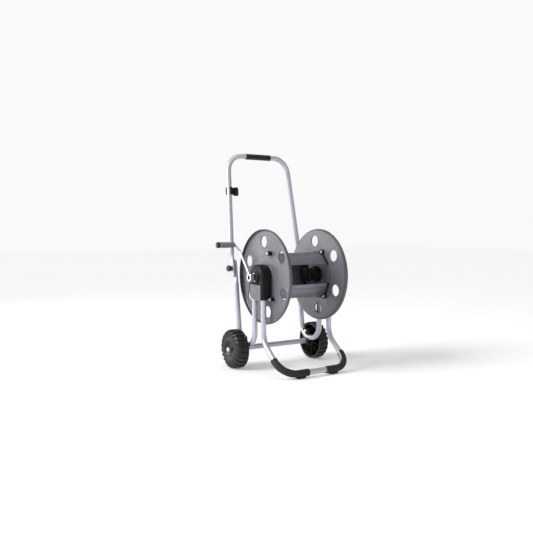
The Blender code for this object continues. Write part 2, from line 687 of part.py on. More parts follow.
def clamp_covers(frame):
    """The ribbed plate that clamps both tube ends in the casing, with toothed edges and a
    pointed foot."""
    top = AXIS_HEIGHT - COVER_TOP_DROP
    foot = AXIS_HEIGHT - CASING_DROP - 0.003
    middle = (FRONT_LEG_Y + SIDE_LEG_Y) / 2
    teeth = 8
    tall = (top - foot) / teeth
    edge = []
    for k in range(teeth):
        z = foot + k * tall
        edge += [(COVER_HALF_WIDTH, z + 0.25 * tall), (COVER_HALF_WIDTH - 0.0022, z + 0.55 * tall),
                 (COVER_HALF_WIDTH - 0.0022, z + 0.8 * tall)]
    outline = [(middle + y, z) for y, z in edge] + [(middle - y, z) for y, z in edge[::-1]]
    outline.append((middle, foot - 0.008))
    for name, sign in (("left", -1), ("right", 1)):
        finish(f"{name}_clamp_cover",
               slab(outline, sign * (CASING_OUT + GAP), sign * COVER_OUT), GREY_PLASTIC, frame)


def bush_clips(frame):
    """Horseshoe clips, legs down, that hold the bushes in the casings."""
    outer, inner = BUSH_RADIUS + 0.0015, SHAFT_RADIUS + 2 * RUN
    foot = -COVER_TOP_DROP + 0.0015
    side = 0.9 * outer
    turn = atan2(-sqrt(outer * outer - side * side), side)
    outline = arc((0, 0), outer, turn, pi - turn, 16)
    outline += [(-side, foot), (-inner - 0.0005, foot)]
    outline += arc((0, 0), inner, pi, 0, 12)
    outline += [(inner + 0.0005, foot), (side, foot)]
    outline = [(y, z + AXIS_HEIGHT) for y, z in outline]
    for name, sign in (("left", -1), ("right", 1)):
        finish(f"{name}_bush_clip", slab(outline, sign * (CASING_OUT + GAP), sign * CLIP_OUT),
               BLACK_PLASTIC, frame)


# ---- handle and its pivots -----------------------------------------------------------------------------


def handle(pivot):
    points, full = handle_line()
    flat = FLAT_ABOVE + FLAT_BELOW

    def shape(i, angle, inset):
        near = flattened(points, -1, flat, 0.03)(i, angle, inset)
        far = flattened(points, full - flat, full + 1, 0.03)(i, angle, inset)
        return near if i < len(points) / 2 else far

    obj = finish("handle_tube", tube(points, TUBE_RADIUS, TUBE_WALL, shape=shape), METAL_PAINT, pivot)
    change(obj, rod((-HANDLE_FLAT_X - 0.02, PIVOT_Y, PIVOT_HEIGHT),
                    (-HANDLE_FLAT_X + 0.02, PIVOT_Y, PIVOT_HEIGHT), PIVOT_BOLT_RADIUS + GAP, 16))
    change(obj, rod((HANDLE_FLAT_X - 0.02, PIVOT_Y, PIVOT_HEIGHT),
                    (HANDLE_FLAT_X + 0.02, PIVOT_Y, PIVOT_HEIGHT), PIVOT_BOLT_RADIUS + GAP, 16))
    half = GRIP_BAND_LENGTH / 2
    finish("handle_grip_band", ring(-half, half, TUBE_RADIUS + GAP, BAND_RADIUS,
                                    (HANDLE_TOP_Y, HANDLE_TOP_HEIGHT), 16), BLACK_PLASTIC, pivot)


def leg_point(height):
    """A point on the middle line of the handle's left leg, above its knee."""
    points, _ = handle_line()
    for a, b in zip(points, points[1:]):
        if a.z <= height <= b.z:
            return a + (b - a) * ((height - a.z) / (b.z - a.z)), (b - a).normalized()
    raise ValueError("the hose clip's height is not on the handle's leg")


def hose_clip(pivot):
    """A C that snaps round the handle's leg, with a second C beside it for the hose's end."""
    centre, along = leg_point(CLIP_HEIGHT)
    across = (Vector((1, 0, 0)) - along * along.x).normalized()
    forward = along.cross(across)
    grip_in = TUBE_RADIUS + GAP
    grip_out = grip_in + CLIP_WALL
    hose_in = CLIP_HOSE_RADIUS
    hose_out = hose_in + CLIP_WALL
    apart = grip_out + hose_out + CLIP_BRIDGE
    mouth = radians(100)
    steps = 10
    start = atan2(sqrt(grip_out ** 2 - (grip_out - CLIP_WALL * 0.3) ** 2), grip_out)

    def on(middle, radius, angle):
        return (middle + radius * cos(angle), radius * sin(angle))

    left_mouth, right_mouth = radians(205), radians(-35)
    outline = [on(0, grip_out, start + (left_mouth - mouth / 2 - start) * i / steps)
               for i in range(steps + 1)]
    outline += [on(0, grip_in, left_mouth - mouth / 2 + (-2 * pi + mouth) * i / (2 * steps))
                for i in range(2 * steps + 1)]
    outline += [on(0, grip_out, left_mouth + mouth / 2 - 2 * pi
                   + (-start - left_mouth - mouth / 2 + 2 * pi) * i / steps)
                for i in range(steps + 1)]
    first, last = pi + start, right_mouth + 2 * pi - mouth / 2
    outline += [on(apart, hose_out, first + (last - first) * i / steps) for i in range(steps + 1)]
    outline += [on(apart, hose_in, last + (-2 * pi + mouth) * i / (2 * steps))
                for i in range(2 * steps + 1)]
    first, last = right_mouth + mouth / 2, pi - start
    outline += [on(apart, hose_out, first + (last - first) * i / steps) for i in range(steps + 1)]
    bm = bmesh.new()
    base = centre - along * CLIP_TALL / 2
    face = bm.faces.new([bm.verts.new(base + across * u + forward * v) for u, v in outline])
    grown = bmesh.ops.extrude_face_region(bm, geom=[face])
    moved = [g for g in grown["geom"] if isinstance(g, bmesh.types.BMVert)]
    bmesh.ops.translate(bm, verts=moved, vec=along * CLIP_TALL)
    finish("hose_clip", bm, BLACK_PLASTIC, pivot)


def pivot_bolts(frame):
    """A bolt through both flattened tubes on each side, head inboard."""
    centre = (PIVOT_Y, PIVOT_HEIGHT)
    head_face = FRAME_HALF_WIDTH - FLAT_HALF_THICKNESS - GAP
    knob_face = HANDLE_FLAT_X + FLAT_HALF_THICKNESS + GAP
    for name, sign in (("left", -1), ("right", 1)):
        tip = sign * (knob_face + KNOB_LENGTH - 0.006)
        profile = [(sign * (head_face - PIVOT_HEAD_HEIGHT), 0),
                   (sign * (head_face - PIVOT_HEAD_HEIGHT), PIVOT_HEAD_RADIUS * 0.6),
                   (sign * (head_face - 0.001), PIVOT_HEAD_RADIUS),
                   (sign * head_face, PIVOT_HEAD_RADIUS), (sign * head_face, PIVOT_BOLT_RADIUS),
                   (tip, PIVOT_BOLT_RADIUS), (tip, 0)]
        finish(f"{name}_pivot_bolt", turned(profile, centre, 16), BRIGHT_STEEL, frame)
        knob_axis = pivot_empty(f"{name}_knob_axis", (sign * knob_face, *centre), frame)
        outline = []
        for k in range(4 * KNOB_LOBES):
            lobe = KNOB_RADIUS - (0.0022 if k % 4 == 0 else 0)
            angle = 2 * pi * k / (4 * KNOB_LOBES)
            outline.append((PIVOT_Y + lobe * cos(angle), PIVOT_HEIGHT + lobe * sin(angle)))
        knob = finish(f"{name}_clamp_knob",
                      slab(outline, sign * knob_face, sign * (knob_face + KNOB_LENGTH)),
                      BLACK_PLASTIC, knob_axis)
        change(knob, rod((sign * (knob_face - 0.01), *centre),
                         (sign * (knob_face + KNOB_LENGTH - 0.005), *centre),
                         PIVOT_BOLT_RADIUS + RUN, 16))


# ---- wheels --------------------------------------------------------------------------------------------


def wheel_mesh(sign):
    """A moulded wheel: lugged tread and dished outer face, hollow and ribbed on its inner side."""
    a, b = WHEEL_INNER_X, WHEEL_OUT
    tread = WHEEL_RADIUS
    wall = 0.004
    bore = AXLE_ROD_RADIUS + RUN
    hub = 0.021
    outer = [(a, tread), (b - 0.016, tread), (b - 0.004, tread - 0.007), (b, tread - 0.020),
             (b, 0.040), (b - WHEEL_DISH, 0.026)]
    hollow = [(b - WHEEL_DISH, bore), (a + 0.002, bore), (a + 0.002, hub),
              (b - WHEEL_DISH - wall, hub), (b - wall, 0.043), (b - wall, tread - 0.024),
              (a, tread - 0.014)]
    profile = [(sign * x, r) for x, r in outer + hollow]
    bm = turned(profile, (AXLE_Y, AXLE_HEIGHT), 2 * WHEEL_LUGS)
    for vert in bm.verts:
        y, z = vert.co.y - AXLE_Y, vert.co.z - AXLE_HEIGHT
        radius = sqrt(y * y + z * z)
        if radius < tread - 0.010:
            continue
        step = round(atan2(z, y) / (2 * pi) * 2 * WHEEL_LUGS)
        if step % 2 == 0:
            lower = (radius - LUG_DEPTH) / radius
            vert.co.y = AXLE_Y + y * lower
            vert.co.z = AXLE_HEIGHT + z * lower
    return bm


def wheels(cart):
    for name, sign in (("left", -1), ("right", 1)):
        centre = (sign * WHEEL_INNER_X, AXLE_Y, AXLE_HEIGHT)
        pivot = pivot_empty(f"{name}_wheel_axis", centre, cart)
        obj = finish(f"{name}_wheel", wheel_mesh(sign), BLACK_PLASTIC, pivot, 30)
        for k in range(WHEEL_RIBS):
            angle = 2 * pi * (k + 0.5) / WHEEL_RIBS
            near, far = WHEEL_INNER_X + 0.003, WHEEL_OUT - WHEEL_DISH - 0.002
            rib = box((min(sign * near, sign * far), 0.019, -0.001),
                      (max(sign * near, sign * far), WHEEL_RADIUS - 0.0125, 0.001))
            bmesh.ops.rotate(rib, verts=rib.verts, matrix=Matrix.Rotation(angle, 3, "X"))
            bmesh.ops.translate(rib, verts=rib.verts, vec=(0, AXLE_Y, AXLE_HEIGHT))
            change(obj, rib, "UNION")


# ---- drum ------------------------------------------------------------------------------------------------


def flanges(reel):
    centre = (0, AXIS_HEIGHT)
    rim = FLANGE_RADIUS
    for name, sign in (("left", -1), ("right", 1)):
        profile = [(FLANGE_IN, SHAFT_RADIUS + GAP), (FLANGE_IN, rim - 0.004),
                   (FLANGE_IN + 0.003, rim), (LIP_OUT, rim), (LIP_OUT, rim - LIP_WALL), (FLANGE_OUT, rim - LIP_WALL - 0.002),
                   (FLANGE_OUT, HUB_DISC_RADIUS + 0.001), (HUB_DISC_OUT, HUB_DISC_RADIUS - 0.001),
                   (HUB_DISC_OUT, SHAFT_RADIUS + GAP)]
        bm = turned([(sign * x, r) for x, r in profile], centre, RIM_SIDES)
        obj = finish(f"{name}_flange", bm, GREY_PLASTIC, reel, 30)
        for k in range(HAND_HOLES):
            y, z = polar(HAND_HOLE_PITCH, 2 * pi * (k + 0.5) / HAND_HOLES + REEL_PHASE)
            change(obj, rod((sign * (FLANGE_IN - 0.01), y, z), (sign * (FLANGE_OUT + 0.01), y, z),
                            HAND_HOLE_RADIUS, 16))
        for k in range(BEAMS):
            y, z = polar(BEAM_RADIUS, beam_angle(k))
            change(obj, rod((sign * (FLANGE_IN - 0.01), y, z), (sign * (FLANGE_OUT + 0.01), y, z),
                            TIE_BOSS_RADIUS + GAP, 12))


def drum_beams(reel):
    """Three extruded beams, each held between a pair of moulded end sockets by tie screws."""
    beam_end = FLANGE_IN - GAP - SOCKET_THICKNESS - GAP
    boss_out = FLANGE_OUT + TIE_BOSS_LENGTH
    for k in range(BEAMS):
        angle = beam_angle(k)
        finish(f"drum_beam_{k + 1}", slab(beam_outline(angle), -beam_end, beam_end), ALUMINIUM, reel)
        y, z = polar(BEAM_RADIUS, angle)
        for name, sign in (("left", -1), ("right", 1)):
            inner, outer = sign * (beam_end + GAP), sign * (FLANGE_IN - GAP)
            obj = finish(f"{name}_beam_socket_{k + 1}",
                         slab(beam_outline(angle, SOCKET_RIM), inner, outer), BLACK_PLASTIC, reel)
            change(obj, rod((inner + sign * 0.001, y, z), (outer - sign * 0.001, y, z),
                            TIE_EAR_RADIUS, 16), "UNION")
            change(obj, rod(((inner + outer) / 2, y, z), (sign * boss_out, y, z), TIE_BOSS_RADIUS, 12),
                   "UNION")
            depth = sign * (FLANGE_IN - 0.004)
            change(obj, rod((depth, y, z), (sign * (boss_out + 0.01), y, z),
                            TIE_SCREW_RADIUS + GAP, 12))
            face = sign * (boss_out + GAP)
            top = sign * (boss_out + GAP + TIE_HEAD_HEIGHT)
            tip = depth + sign * GAP
            screw = [(tip, 0), (tip, TIE_SCREW_RADIUS), (face, TIE_SCREW_RADIUS),
                     (face, TIE_HEAD_RADIUS), (top, TIE_HEAD_RADIUS - 0.001), (top, 0)]
            finish(f"{name}_tie_screw_{k + 1}", turned(screw, (y, z), 12), BRIGHT_STEEL, reel)


def spindles(reel):
    """Left: the shaft that the crank turns.  Right: the hollow shaft that the water runs through."""
    centre = (0, AXIS_HEIGHT)
    face = FLANGE_IN - GAP
    shoulder = WASHER_OUT + GAP
    nose = CRANK_HUB_OUT - 0.008
    inner = face - SPINDLE_FLANGE_THICKNESS
    left = [(inner, 0), (inner, SPINDLE_FLANGE_RADIUS), (face, SPINDLE_FLANGE_RADIUS),
            (face, SHAFT_RADIUS), (shoulder - 0.001, SHAFT_RADIUS),
            (shoulder - 0.001, SHAFT_NOSE_RADIUS), (nose, SHAFT_NOSE_RADIUS), (nose, 0)]
    spindle = finish("crank_spindle", turned([(-x, r) for x, r in left], centre), BLACK_PLASTIC, reel)
    change(spindle, rod((-nose - 0.01, *centre), (-nose + 0.022, *centre), CRANK_SCREW_RADIUS + GAP, 12))
    inner = face - WATER_HUB_LENGTH
    end = ELBOW_IN + ELBOW_BORE_DEPTH
    right = [(inner, 0), (inner, WATER_HUB_RADIUS - 0.002), (inner + 0.002, WATER_HUB_RADIUS),
             (face - 0.005, WATER_HUB_RADIUS), (face - 0.005, WATER_HUB_RADIUS + 0.006),
             (face, WATER_HUB_RADIUS + 0.006), (face, SHAFT_RADIUS), (end, SHAFT_RADIUS),
             (end, WATER_BORE), (inner + 0.008, WATER_BORE), (inner + 0.008, 0)]
    spindle = finish("water_spindle", turned(right, centre), BLACK_PLASTIC, reel)
    middle = inner + 0.012
    turn = Matrix.Rotation(-REEL_PHASE, 3, "X")

    def at(y, z):
        place = turn @ Vector((0, y, z))
        return (middle, place.y, place.z + AXIS_HEIGHT)

    change(spindle, rod(at(0, 0), at(WATER_HUB_RADIUS + 0.02, 0), OUTLET_BORE, 12))
    near = WATER_HUB_RADIUS + 0.006 + GAP
    body = box((middle - 0.012, near, -OUTLET_HALF_HEIGHT), (face - 0.0005, OUTLET_Y + 0.020,
                                                            OUTLET_HALF_HEIGHT))
    bmesh.ops.rotate(body, verts=body.verts, matrix=turn)
    bmesh.ops.translate(body, verts=body.verts, vec=(0, 0, AXIS_HEIGHT))
    elbow = finish("outlet_elbow", body, BLACK_PLASTIC, reel)
    change(elbow, rod(at(near - 0.01, 0), at(OUTLET_Y, 0), OUTLET_BORE, 12))
    change(elbow, rod(at(OUTLET_Y, -0.003), at(OUTLET_Y, OUTLET_HALF_HEIGHT + 0.01), OUTLET_BORE, 12))
    start = OUTLET_HALF_HEIGHT + GAP
    end = start + OUTLET_LENGTH
    adapter = finish("outlet_adapter", rod(at(OUTLET_Y, start), at(OUTLET_Y, end), 0.0085, 16),
                     BLACK_PLASTIC, reel)
    change(adapter, rod(at(OUTLET_Y, start - 0.01), at(OUTLET_Y, end + 0.01), OUTLET_BORE, 12))
    for name, sign in (("left", -1), ("right", 1)):
        finish(f"{name}_thrust_washer",
               ring(sign * (CLIP_OUT + GAP), sign * WASHER_OUT, SHAFT_RADIUS + GAP, WASHER_RADIUS,
                    centre), BRIGHT_STEEL, reel)


# ---- crank -----------------------------------------------------------------------------------------------


def crank_point(radius):
    return (radius * sin(CRANK_ANGLE), AXIS_HEIGHT + radius * cos(CRANK_ANGLE))


def crank(reel):
    centre = (0, AXIS_HEIGHT)
    bore = SHAFT_NOSE_RADIUS + GAP
    collar = CRANK_HUB_IN + CRANK_COLLAR_LENGTH
    hub = [(CRANK_HUB_IN, bore), (CRANK_HUB_OUT, bore), (CRANK_HUB_OUT, CRANK_HUB_RADIUS - 0.001),
           (CRANK_HUB_OUT - 0.001, CRANK_HUB_RADIUS), (collar, CRANK_HUB_RADIUS),
           (collar, CRANK_HUB_RADIUS - 0.003), (CRANK_HUB_IN, CRANK_HUB_RADIUS - 0.003)]
    obj = finish("crank_hub", turned([(-x, r) for x, r in hub], centre), GREY_PLASTIC, reel)
    change(obj, rod((-ARM_X, *crank_point(SHAFT_NOSE_RADIUS - 0.002)),
                    (-ARM_X, *crank_point(CRANK_HUB_RADIUS + 0.01)), CRANK_ROD_RADIUS + GAP, 12))
    step = ARM_X + CRANK_OFFSET
    corners = [(-ARM_X, *crank_point(bore + 0.0006)), (-ARM_X, *crank_point(CRANK_THROW * 0.80)),
               (-step, *crank_point(CRANK_THROW)), (-GRIP_OUT + 0.003, *crank_point(CRANK_THROW))]
    finish("crank_arm", tube(bent_line(corners, [0.012, 0.007], 4), CRANK_ROD_RADIUS, sides=12,
                             side=(0, 1, 0)), BRIGHT_STEEL, reel)
    nose = CRANK_HUB_OUT - 0.008
    screw = [(nose - 0.020, 0), (nose - 0.020, CRANK_SCREW_RADIUS),
             (nose + GAP, CRANK_SCREW_RADIUS), (nose + GAP, SHAFT_NOSE_RADIUS - 0.0007),
             (nose + 0.0035, SHAFT_NOSE_RADIUS - 0.002), (nose + 0.0035, 0)]
    finish("crank_screw", turned([(-x, r) for x, r in screw], centre, 16), BRIGHT_STEEL, reel)
    place = crank_point(CRANK_THROW)
    pivot = pivot_empty("crank_grip_axis", (-GRIP_IN, *place), reel)
    inner = CRANK_ROD_RADIUS + RUN
    finish("crank_grip", ring(-GRIP_IN, -GRIP_OUT, inner, GRIP_RADIUS, place), GREY_PLASTIC, pivot)
    cap = [(GRIP_OUT + GAP, 0), (GRIP_OUT + GAP, GRIP_RADIUS), (GRIP_END - 0.002, GRIP_RADIUS),
           (GRIP_END, GRIP_RADIUS - 0.002), (GRIP_END, 0)]
    finish("grip_end_cap", turned([(-x, r) for x, r in cap], place), BLACK_PLASTIC, pivot)


# ---- water inlet -------------------------------------------------------------------------------------------


def inlet(cart):
    """A swivelling elbow on the hollow shaft's outer end, with the tap hose's connector below it."""
    pivot = pivot_empty("inlet_axis", (ELBOW_IN, 0, AXIS_HEIGHT), cart)
    centre = (0, AXIS_HEIGHT)
    end = ELBOW_IN + ELBOW_LENGTH
    bore_end = ELBOW_IN + ELBOW_BORE_DEPTH + RUN
    body = [(ELBOW_IN, SHAFT_RADIUS + RUN), (bore_end, SHAFT_RADIUS + RUN), (bore_end, 0),
            (end, 0), (end, ELBOW_RADIUS - 0.003), (end - 0.003, ELBOW_RADIUS),
            (ELBOW_IN, ELBOW_RADIUS)]
    elbow = finish("inlet_elbow", turned(body, centre), BLACK_PLASTIC, pivot)
    x = ELBOW_IN + ELBOW_LENGTH / 2
    foot = AXIS_HEIGHT - ELBOW_DROP
    change(elbow, rod((x, 0, AXIS_HEIGHT - SHAFT_RADIUS - 0.002), (x, 0, foot), ELBOW_NECK, 16), "UNION")
    change(elbow, rod((x, 0, AXIS_HEIGHT - SHAFT_RADIUS + 0.002), (x, 0, foot - 0.01),
                      WATER_BORE - 0.001, 12))
    tip = foot - GAP - INLET_LENGTH
    adapter = rod((x, 0, foot - GAP), (x, 0, foot - 0.012), 0.0115, 6)
    obj = finish("inlet_adapter", adapter, GREY_PLASTIC, pivot)
    change(obj, rod((x, 0, foot - 0.010), (x, 0, tip), 0.0075, 16), "UNION")
    change(obj, rod((x, 0, foot - 0.021), (x, 0, foot - 0.024), 0.0095, 16), "UNION")
    change(obj, rod((x, 0, foot + 0.01), (x, 0, tip - 0.01), WATER_BORE - 0.002, 12))


def main():
    clear_scene()
    cart = pivot_empty("cart", (0, 0, 0))
    reel = pivot_empty("reel_axis", (0, 0, AXIS_HEIGHT), cart)
    fold = pivot_empty("handle_axis", (0, PIVOT_Y, PIVOT_HEIGHT), cart)
    side_frames(cart)
    front_leg_loop(cart)
    foot_sleeves(cart)
    axle(cart)
    bearing_casings(cart)
    clamp_covers(cart)
    bush_clips(cart)
    handle(fold)
    hose_clip(fold)
    pivot_bolts(cart)
    wheels(cart)
    flanges(reel)
    drum_beams(reel)
    spindles(reel)
    crank(reel)
    inlet(cart)


if __name__ == "__main__":
    main()
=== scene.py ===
"""Looks for the garden hose reel cart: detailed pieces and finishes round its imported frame."""

import json
from math import atan2, cos, pi, radians, sin, sqrt, tan

import bmesh
import bpy
from mathutils import Matrix, Vector


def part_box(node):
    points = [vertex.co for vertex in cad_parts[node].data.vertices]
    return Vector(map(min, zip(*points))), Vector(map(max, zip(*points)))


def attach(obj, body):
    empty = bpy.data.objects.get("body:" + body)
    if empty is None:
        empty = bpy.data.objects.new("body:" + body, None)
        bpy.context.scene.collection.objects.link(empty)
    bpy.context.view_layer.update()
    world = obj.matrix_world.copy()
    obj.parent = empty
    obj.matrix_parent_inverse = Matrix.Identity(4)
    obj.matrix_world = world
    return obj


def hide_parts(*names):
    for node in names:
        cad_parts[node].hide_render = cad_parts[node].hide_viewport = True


bl_info = {
    "name": "Hose Reel Cart",
    "version": (1, 0, 0),
    "blender": (4, 5, 0),
    "location": "View3D > Sidebar > Hose Cart",
    "description": "Builds the pieces and finishes of a garden hose reel cart",
    "category": "Add Mesh",
}

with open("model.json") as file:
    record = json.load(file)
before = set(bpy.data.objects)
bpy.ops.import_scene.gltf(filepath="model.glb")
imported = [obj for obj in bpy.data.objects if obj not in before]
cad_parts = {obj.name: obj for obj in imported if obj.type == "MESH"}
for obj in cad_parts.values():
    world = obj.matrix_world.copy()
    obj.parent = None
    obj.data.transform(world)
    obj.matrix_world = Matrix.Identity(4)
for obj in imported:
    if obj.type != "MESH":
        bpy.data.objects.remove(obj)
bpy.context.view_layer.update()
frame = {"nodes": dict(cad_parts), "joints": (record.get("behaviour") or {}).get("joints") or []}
AXES = {joint["name"]: Vector(joint["pos_m"]) for joint in frame["joints"]}
REEL = AXES["reel_spin"]
FOLD = AXES["handle_fold"]
AXLE = AXES["left_wheel_spin"]
GAP = 0.0003                   # between pieces that fit against each other
TUBE_RADIUS = 0.011
FLAT_THIN, FLAT_WIDE = 0.00535, 0.0142    # half the thickness and width of a pressed tube end
REEL_PHASE = radians(5.8)      # how far the drum has been wound on
HAND_HOLES = 6
BEAMS = 3
BEAM_RIDGE = 0.0955            # of a beam's flat outer face from the drum's axis


def at(x, y, z):
    """A point measured from the cart's middle plane, the drum's axis and the ground."""
    return Vector((REEL.x + x, REEL.y + y, z))


def low_x(node):
    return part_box(node)[0].x - REEL.x


def high_x(node):
    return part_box(node)[1].x - REEL.x


AXIS_HEIGHT = REEL.z
PIVOT_Y, PIVOT_HEIGHT = FOLD.y - REEL.y, FOLD.z
AXLE_Y, AXLE_HEIGHT = AXLE.y - REEL.y, AXLE.z
FRAME_X = (low_x("right_side_frame") + high_x("right_side_frame")) / 2
HANDLE_X = FRAME_X + 2 * FLAT_THIN + GAP
LIP_OUT = high_x("right_flange")
FLANGE_IN = low_x("right_flange")
FLANGE_RADIUS = (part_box("right_flange")[1].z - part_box("right_flange")[0].z) / 2
CASING_IN, CASING_OUT = low_x("right_bearing_casing"), high_x("right_bearing_casing")
COVER_OUT = high_x("right_clamp_cover")
WHEEL_IN, WHEEL_OUT = low_x("right_wheel"), high_x("right_wheel")
HANDLE_TOP = (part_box("handle_grip_band")[0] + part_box("handle_grip_band")[1]) / 2
BAND_RADIUS = (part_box("handle_grip_band")[1].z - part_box("handle_grip_band")[0].z) / 2
FOOT_BAR_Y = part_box("front_leg_loop")[0].y - REEL.y + TUBE_RADIUS
CRANK_AXIS = AXES["crank_grip_spin"]


# ---- settings ----------------------------------------------------------------------------


class CartSizes(bpy.types.PropertyGroup):
    """Sizes of the pieces that can be changed in the sidebar."""

    tube_radius: bpy.props.FloatProperty(
        name="Tube radius", description="Outer radius of the frame tubes",
        default=TUBE_RADIUS, min=0.006, max=0.02, unit="LENGTH")
    tube_sides: bpy.props.IntProperty(
        name="Tube sides", description="Faces round each tube", default=32, min=12, max=64)
    hand_hole: bpy.props.FloatProperty(
        name="Hand hole radius", description="Radius of the round holes in the flanges",
        default=0.023, min=0.01, max=0.03, unit="LENGTH")
    hole_pitch: bpy.props.FloatProperty(
        name="Hole circle radius", description="Radius on which the hand holes lie",
        default=0.1404, min=0.12, max=0.15, unit="LENGTH")
    beam_pitch: bpy.props.FloatProperty(
        name="Beam circle radius", description="Radius on which the tie screws lie",
        default=0.104, min=0.09, max=0.11, unit="LENGTH")
    lugs: bpy.props.IntProperty(
        name="Tread lugs", description="Lugs round each wheel", default=22, min=12, max=32)
    ribs: bpy.props.IntProperty(
        name="Wheel ribs", description="Ribs on the inner side of each wheel",
        default=10, min=4, max=16)
    grip_ribs: bpy.props.IntProperty(
        name="Grip ribs", description="Grooves round the crank's grip", default=14, min=6, max=30)
    bevel: bpy.props.FloatProperty(
        name="Moulded edge", description="Rounding of the moulded pieces' edges",
        default=0.0008, min=0.0002, max=0.002, unit="LENGTH")


def colour_property(name, description, default):
    return bpy.props.FloatVectorProperty(
        name=name, description=description, subtype="COLOR", size=3, min=0, max=1, default=default)


class CartColours(bpy.types.PropertyGroup):
    """Base colours of the finishes."""

    paint: colour_property("Tube paint", "Silver paint of the tubes", (0.50, 0.51, 0.575))
    black: colour_property("Black plastic", "Casings, band and gaskets", (0.010, 0.009, 0.008))
    flange: colour_property("Flange grey", "Grey plastic of the flanges", (0.118, 0.115, 0.133))
    cover: colour_property("Cover grey", "Grey plastic of the clamp covers", (0.19, 0.188, 0.205))
    beam: colour_property("Beam metal", "Extruded beams of the drum", (0.205, 0.213, 0.25))
    steel: colour_property("Bright steel", "Screws, caps and washers", (0.72, 0.72, 0.74))
    crank: colour_property("Crank rod", "Plated rod of the crank", (0.50, 0.51, 0.55))
    grip: colour_property("Grip grey", "Crank grip and its hub", (0.19, 0.19, 0.225))
    wheel: colour_property("Wheel plastic", "Moulded wheels", (0.016, 0.015, 0.0145))
    foot: colour_property("Foot sleeve", "Rubbery foot sleeves", (0.024, 0.022, 0.017))
    knob: colour_property("Knob plastic", "Clamp knobs", (0.040, 0.040, 0.044))
    floor: colour_property("Floor", "Floor and backdrop", (0.75, 0.75, 0.755))


# ---- modelling tools ---------------------------------------------------------------------


def rest():
    """Leave edit mode and select nothing."""
    if bpy.context.object and bpy.context.object.mode != "OBJECT":
        bpy.ops.object.mode_set(mode="OBJECT")
    bpy.ops.object.select_all(action="DESELECT")


def pick(obj):
    rest()
    obj.select_set(True)
    bpy.context.view_layer.objects.active = obj
    return obj


def fix_place():
    """Put the new object's place, turn and size into its mesh."""
    bpy.ops.object.transform_apply(location=True, rotation=True, scale=True)
    return bpy.context.object


def edit(select="SELECT"):
    bpy.ops.object.mode_set(mode="EDIT")
    bpy.ops.mesh.select_all(action=select)


def tidy_mesh():
    """Merge doubles, turn the faces outwards and leave edit mode."""
    bpy.ops.mesh.select_all(action="SELECT")
    bpy.ops.mesh.remove_doubles(threshold=1e-6)
    bpy.ops.mesh.normals_make_consistent(inside=False)
    bpy.ops.object.mode_set(mode="OBJECT")
    return bpy.context.object


def trace(name, points, close=False):
    """Draw a line of edges through the points, and stay in edit mode with all of it selected."""
    rest()
    points = [Vector(p) for p in points]
    bpy.ops.mesh.primitive_plane_add(size=0.01, location=points[0])
    obj = fix_place()
    obj.name = obj.data.name = name
    edit()
    bpy.ops.mesh.merge(type="CENTER")
    for a, b in zip(points, points[1:]):
        bpy.ops.mesh.extrude_vertices_move(TRANSFORM_OT_translate={"value": b - a})
    if close:
        bpy.ops.mesh.select_all(action="DESELECT")
        mesh = bmesh.from_edit_mesh(obj.data)
        mesh.verts.ensure_lookup_table()
        for index in (0, len(points) - 1):
            mesh.verts[index].select = True
        bpy.ops.mesh.edge_face_add()
    bpy.ops.mesh.select_all(action="SELECT")
    return obj


def turned(name, profile, y, z, steps=64):
    """Spin an outline of (across the cart, radius) points round a line parallel to the axle."""
    on_axis = profile[0][1] == 0 and profile[-1][1] == 0
    trace(name, [at(x, y, z + r) for x, r in profile], close=not on_axis)
    bpy.ops.mesh.spin(steps=steps, angle=2 * pi, center=at(0, y, z), axis=(1, 0, 0),
                      use_auto_merge=True)
    return tidy_mesh()


def turned_upright(name, profile, centre):
    """Spin a closed outline of (radius, height) points round an upright line."""
    trace(name, [centre + Vector((r, 0, z)) for r, z in profile], close=True)
    bpy.ops.mesh.spin(steps=40, angle=2 * pi, center=centre, axis=(0, 0, 1), use_auto_merge=True)
    return tidy_mesh()


def extruded(name, points, way):
    """Fill an outline and extrude it."""
    trace(name, points)
    bpy.ops.mesh.edge_face_add()
    bpy.ops.mesh.extrude_region_move(TRANSFORM_OT_translate={"value": way})
    return tidy_mesh()


def slab(name, outline, x_a, x_b):
    """Extrude an outline of (y, z) points across the cart."""
    return extruded(name, [at(x_a, y, z) for y, z in outline], (x_b - x_a, 0, 0))


def block(name, low, high):
    low, high = Vector(low), Vector(high)
    rest()
    bpy.ops.mesh.primitive_cube_add(size=1, location=(low + high) / 2, scale=high - low)
    obj = fix_place()
    obj.name = obj.data.name = name
    return obj


def rod(name, start, end, radius, sides=32, end_radius=None):
    """A closed cylinder or cone between two points."""
    start, end = Vector(start), Vector(end)
    rest()
    bpy.ops.mesh.primitive_cone_add(
        vertices=sides, radius1=radius, radius2=radius if end_radius is None else end_radius,
        depth=(end - start).length, location=(start + end) / 2,
        rotation=(end - start).to_track_quat("Z", "Y").to_euler())
    obj = fix_place()
    obj.name = obj.data.name = name
    return obj


def apply_modifier(obj, kind, **values):
    pick(obj)
    modifier = obj.modifiers.new(kind.lower(), kind)
    for key, value in values.items():
        setattr(modifier, key, value)
    bpy.ops.object.modifier_apply(modifier=modifier.name)
    return obj


def bevel(obj, width, segments=2, angle=35):
    return apply_modifier(obj, "BEVEL", width=width, segments=segments, limit_method="ANGLE",
                          angle_limit=radians(angle), miter_outer="MITER_ARC")


def cut(obj, tool, operation="DIFFERENCE"):
    apply_modifier(obj, "BOOLEAN", object=tool, operation=operation, solver="EXACT")
    bpy.data.objects.remove(tool)
    return obj


def joined(name, pieces):
    rest()
    for piece in pieces:
        piece.select_set(True)
    bpy.context.view_layer.objects.active = pieces[0]
    bpy.ops.object.join()
    obj = bpy.context.object
    obj.name = obj.data.name = name
    return obj


def placed(obj, place):
    """Put a piece through a placing matrix."""
    pick(obj)
    obj.matrix_world = place
    return fix_place()


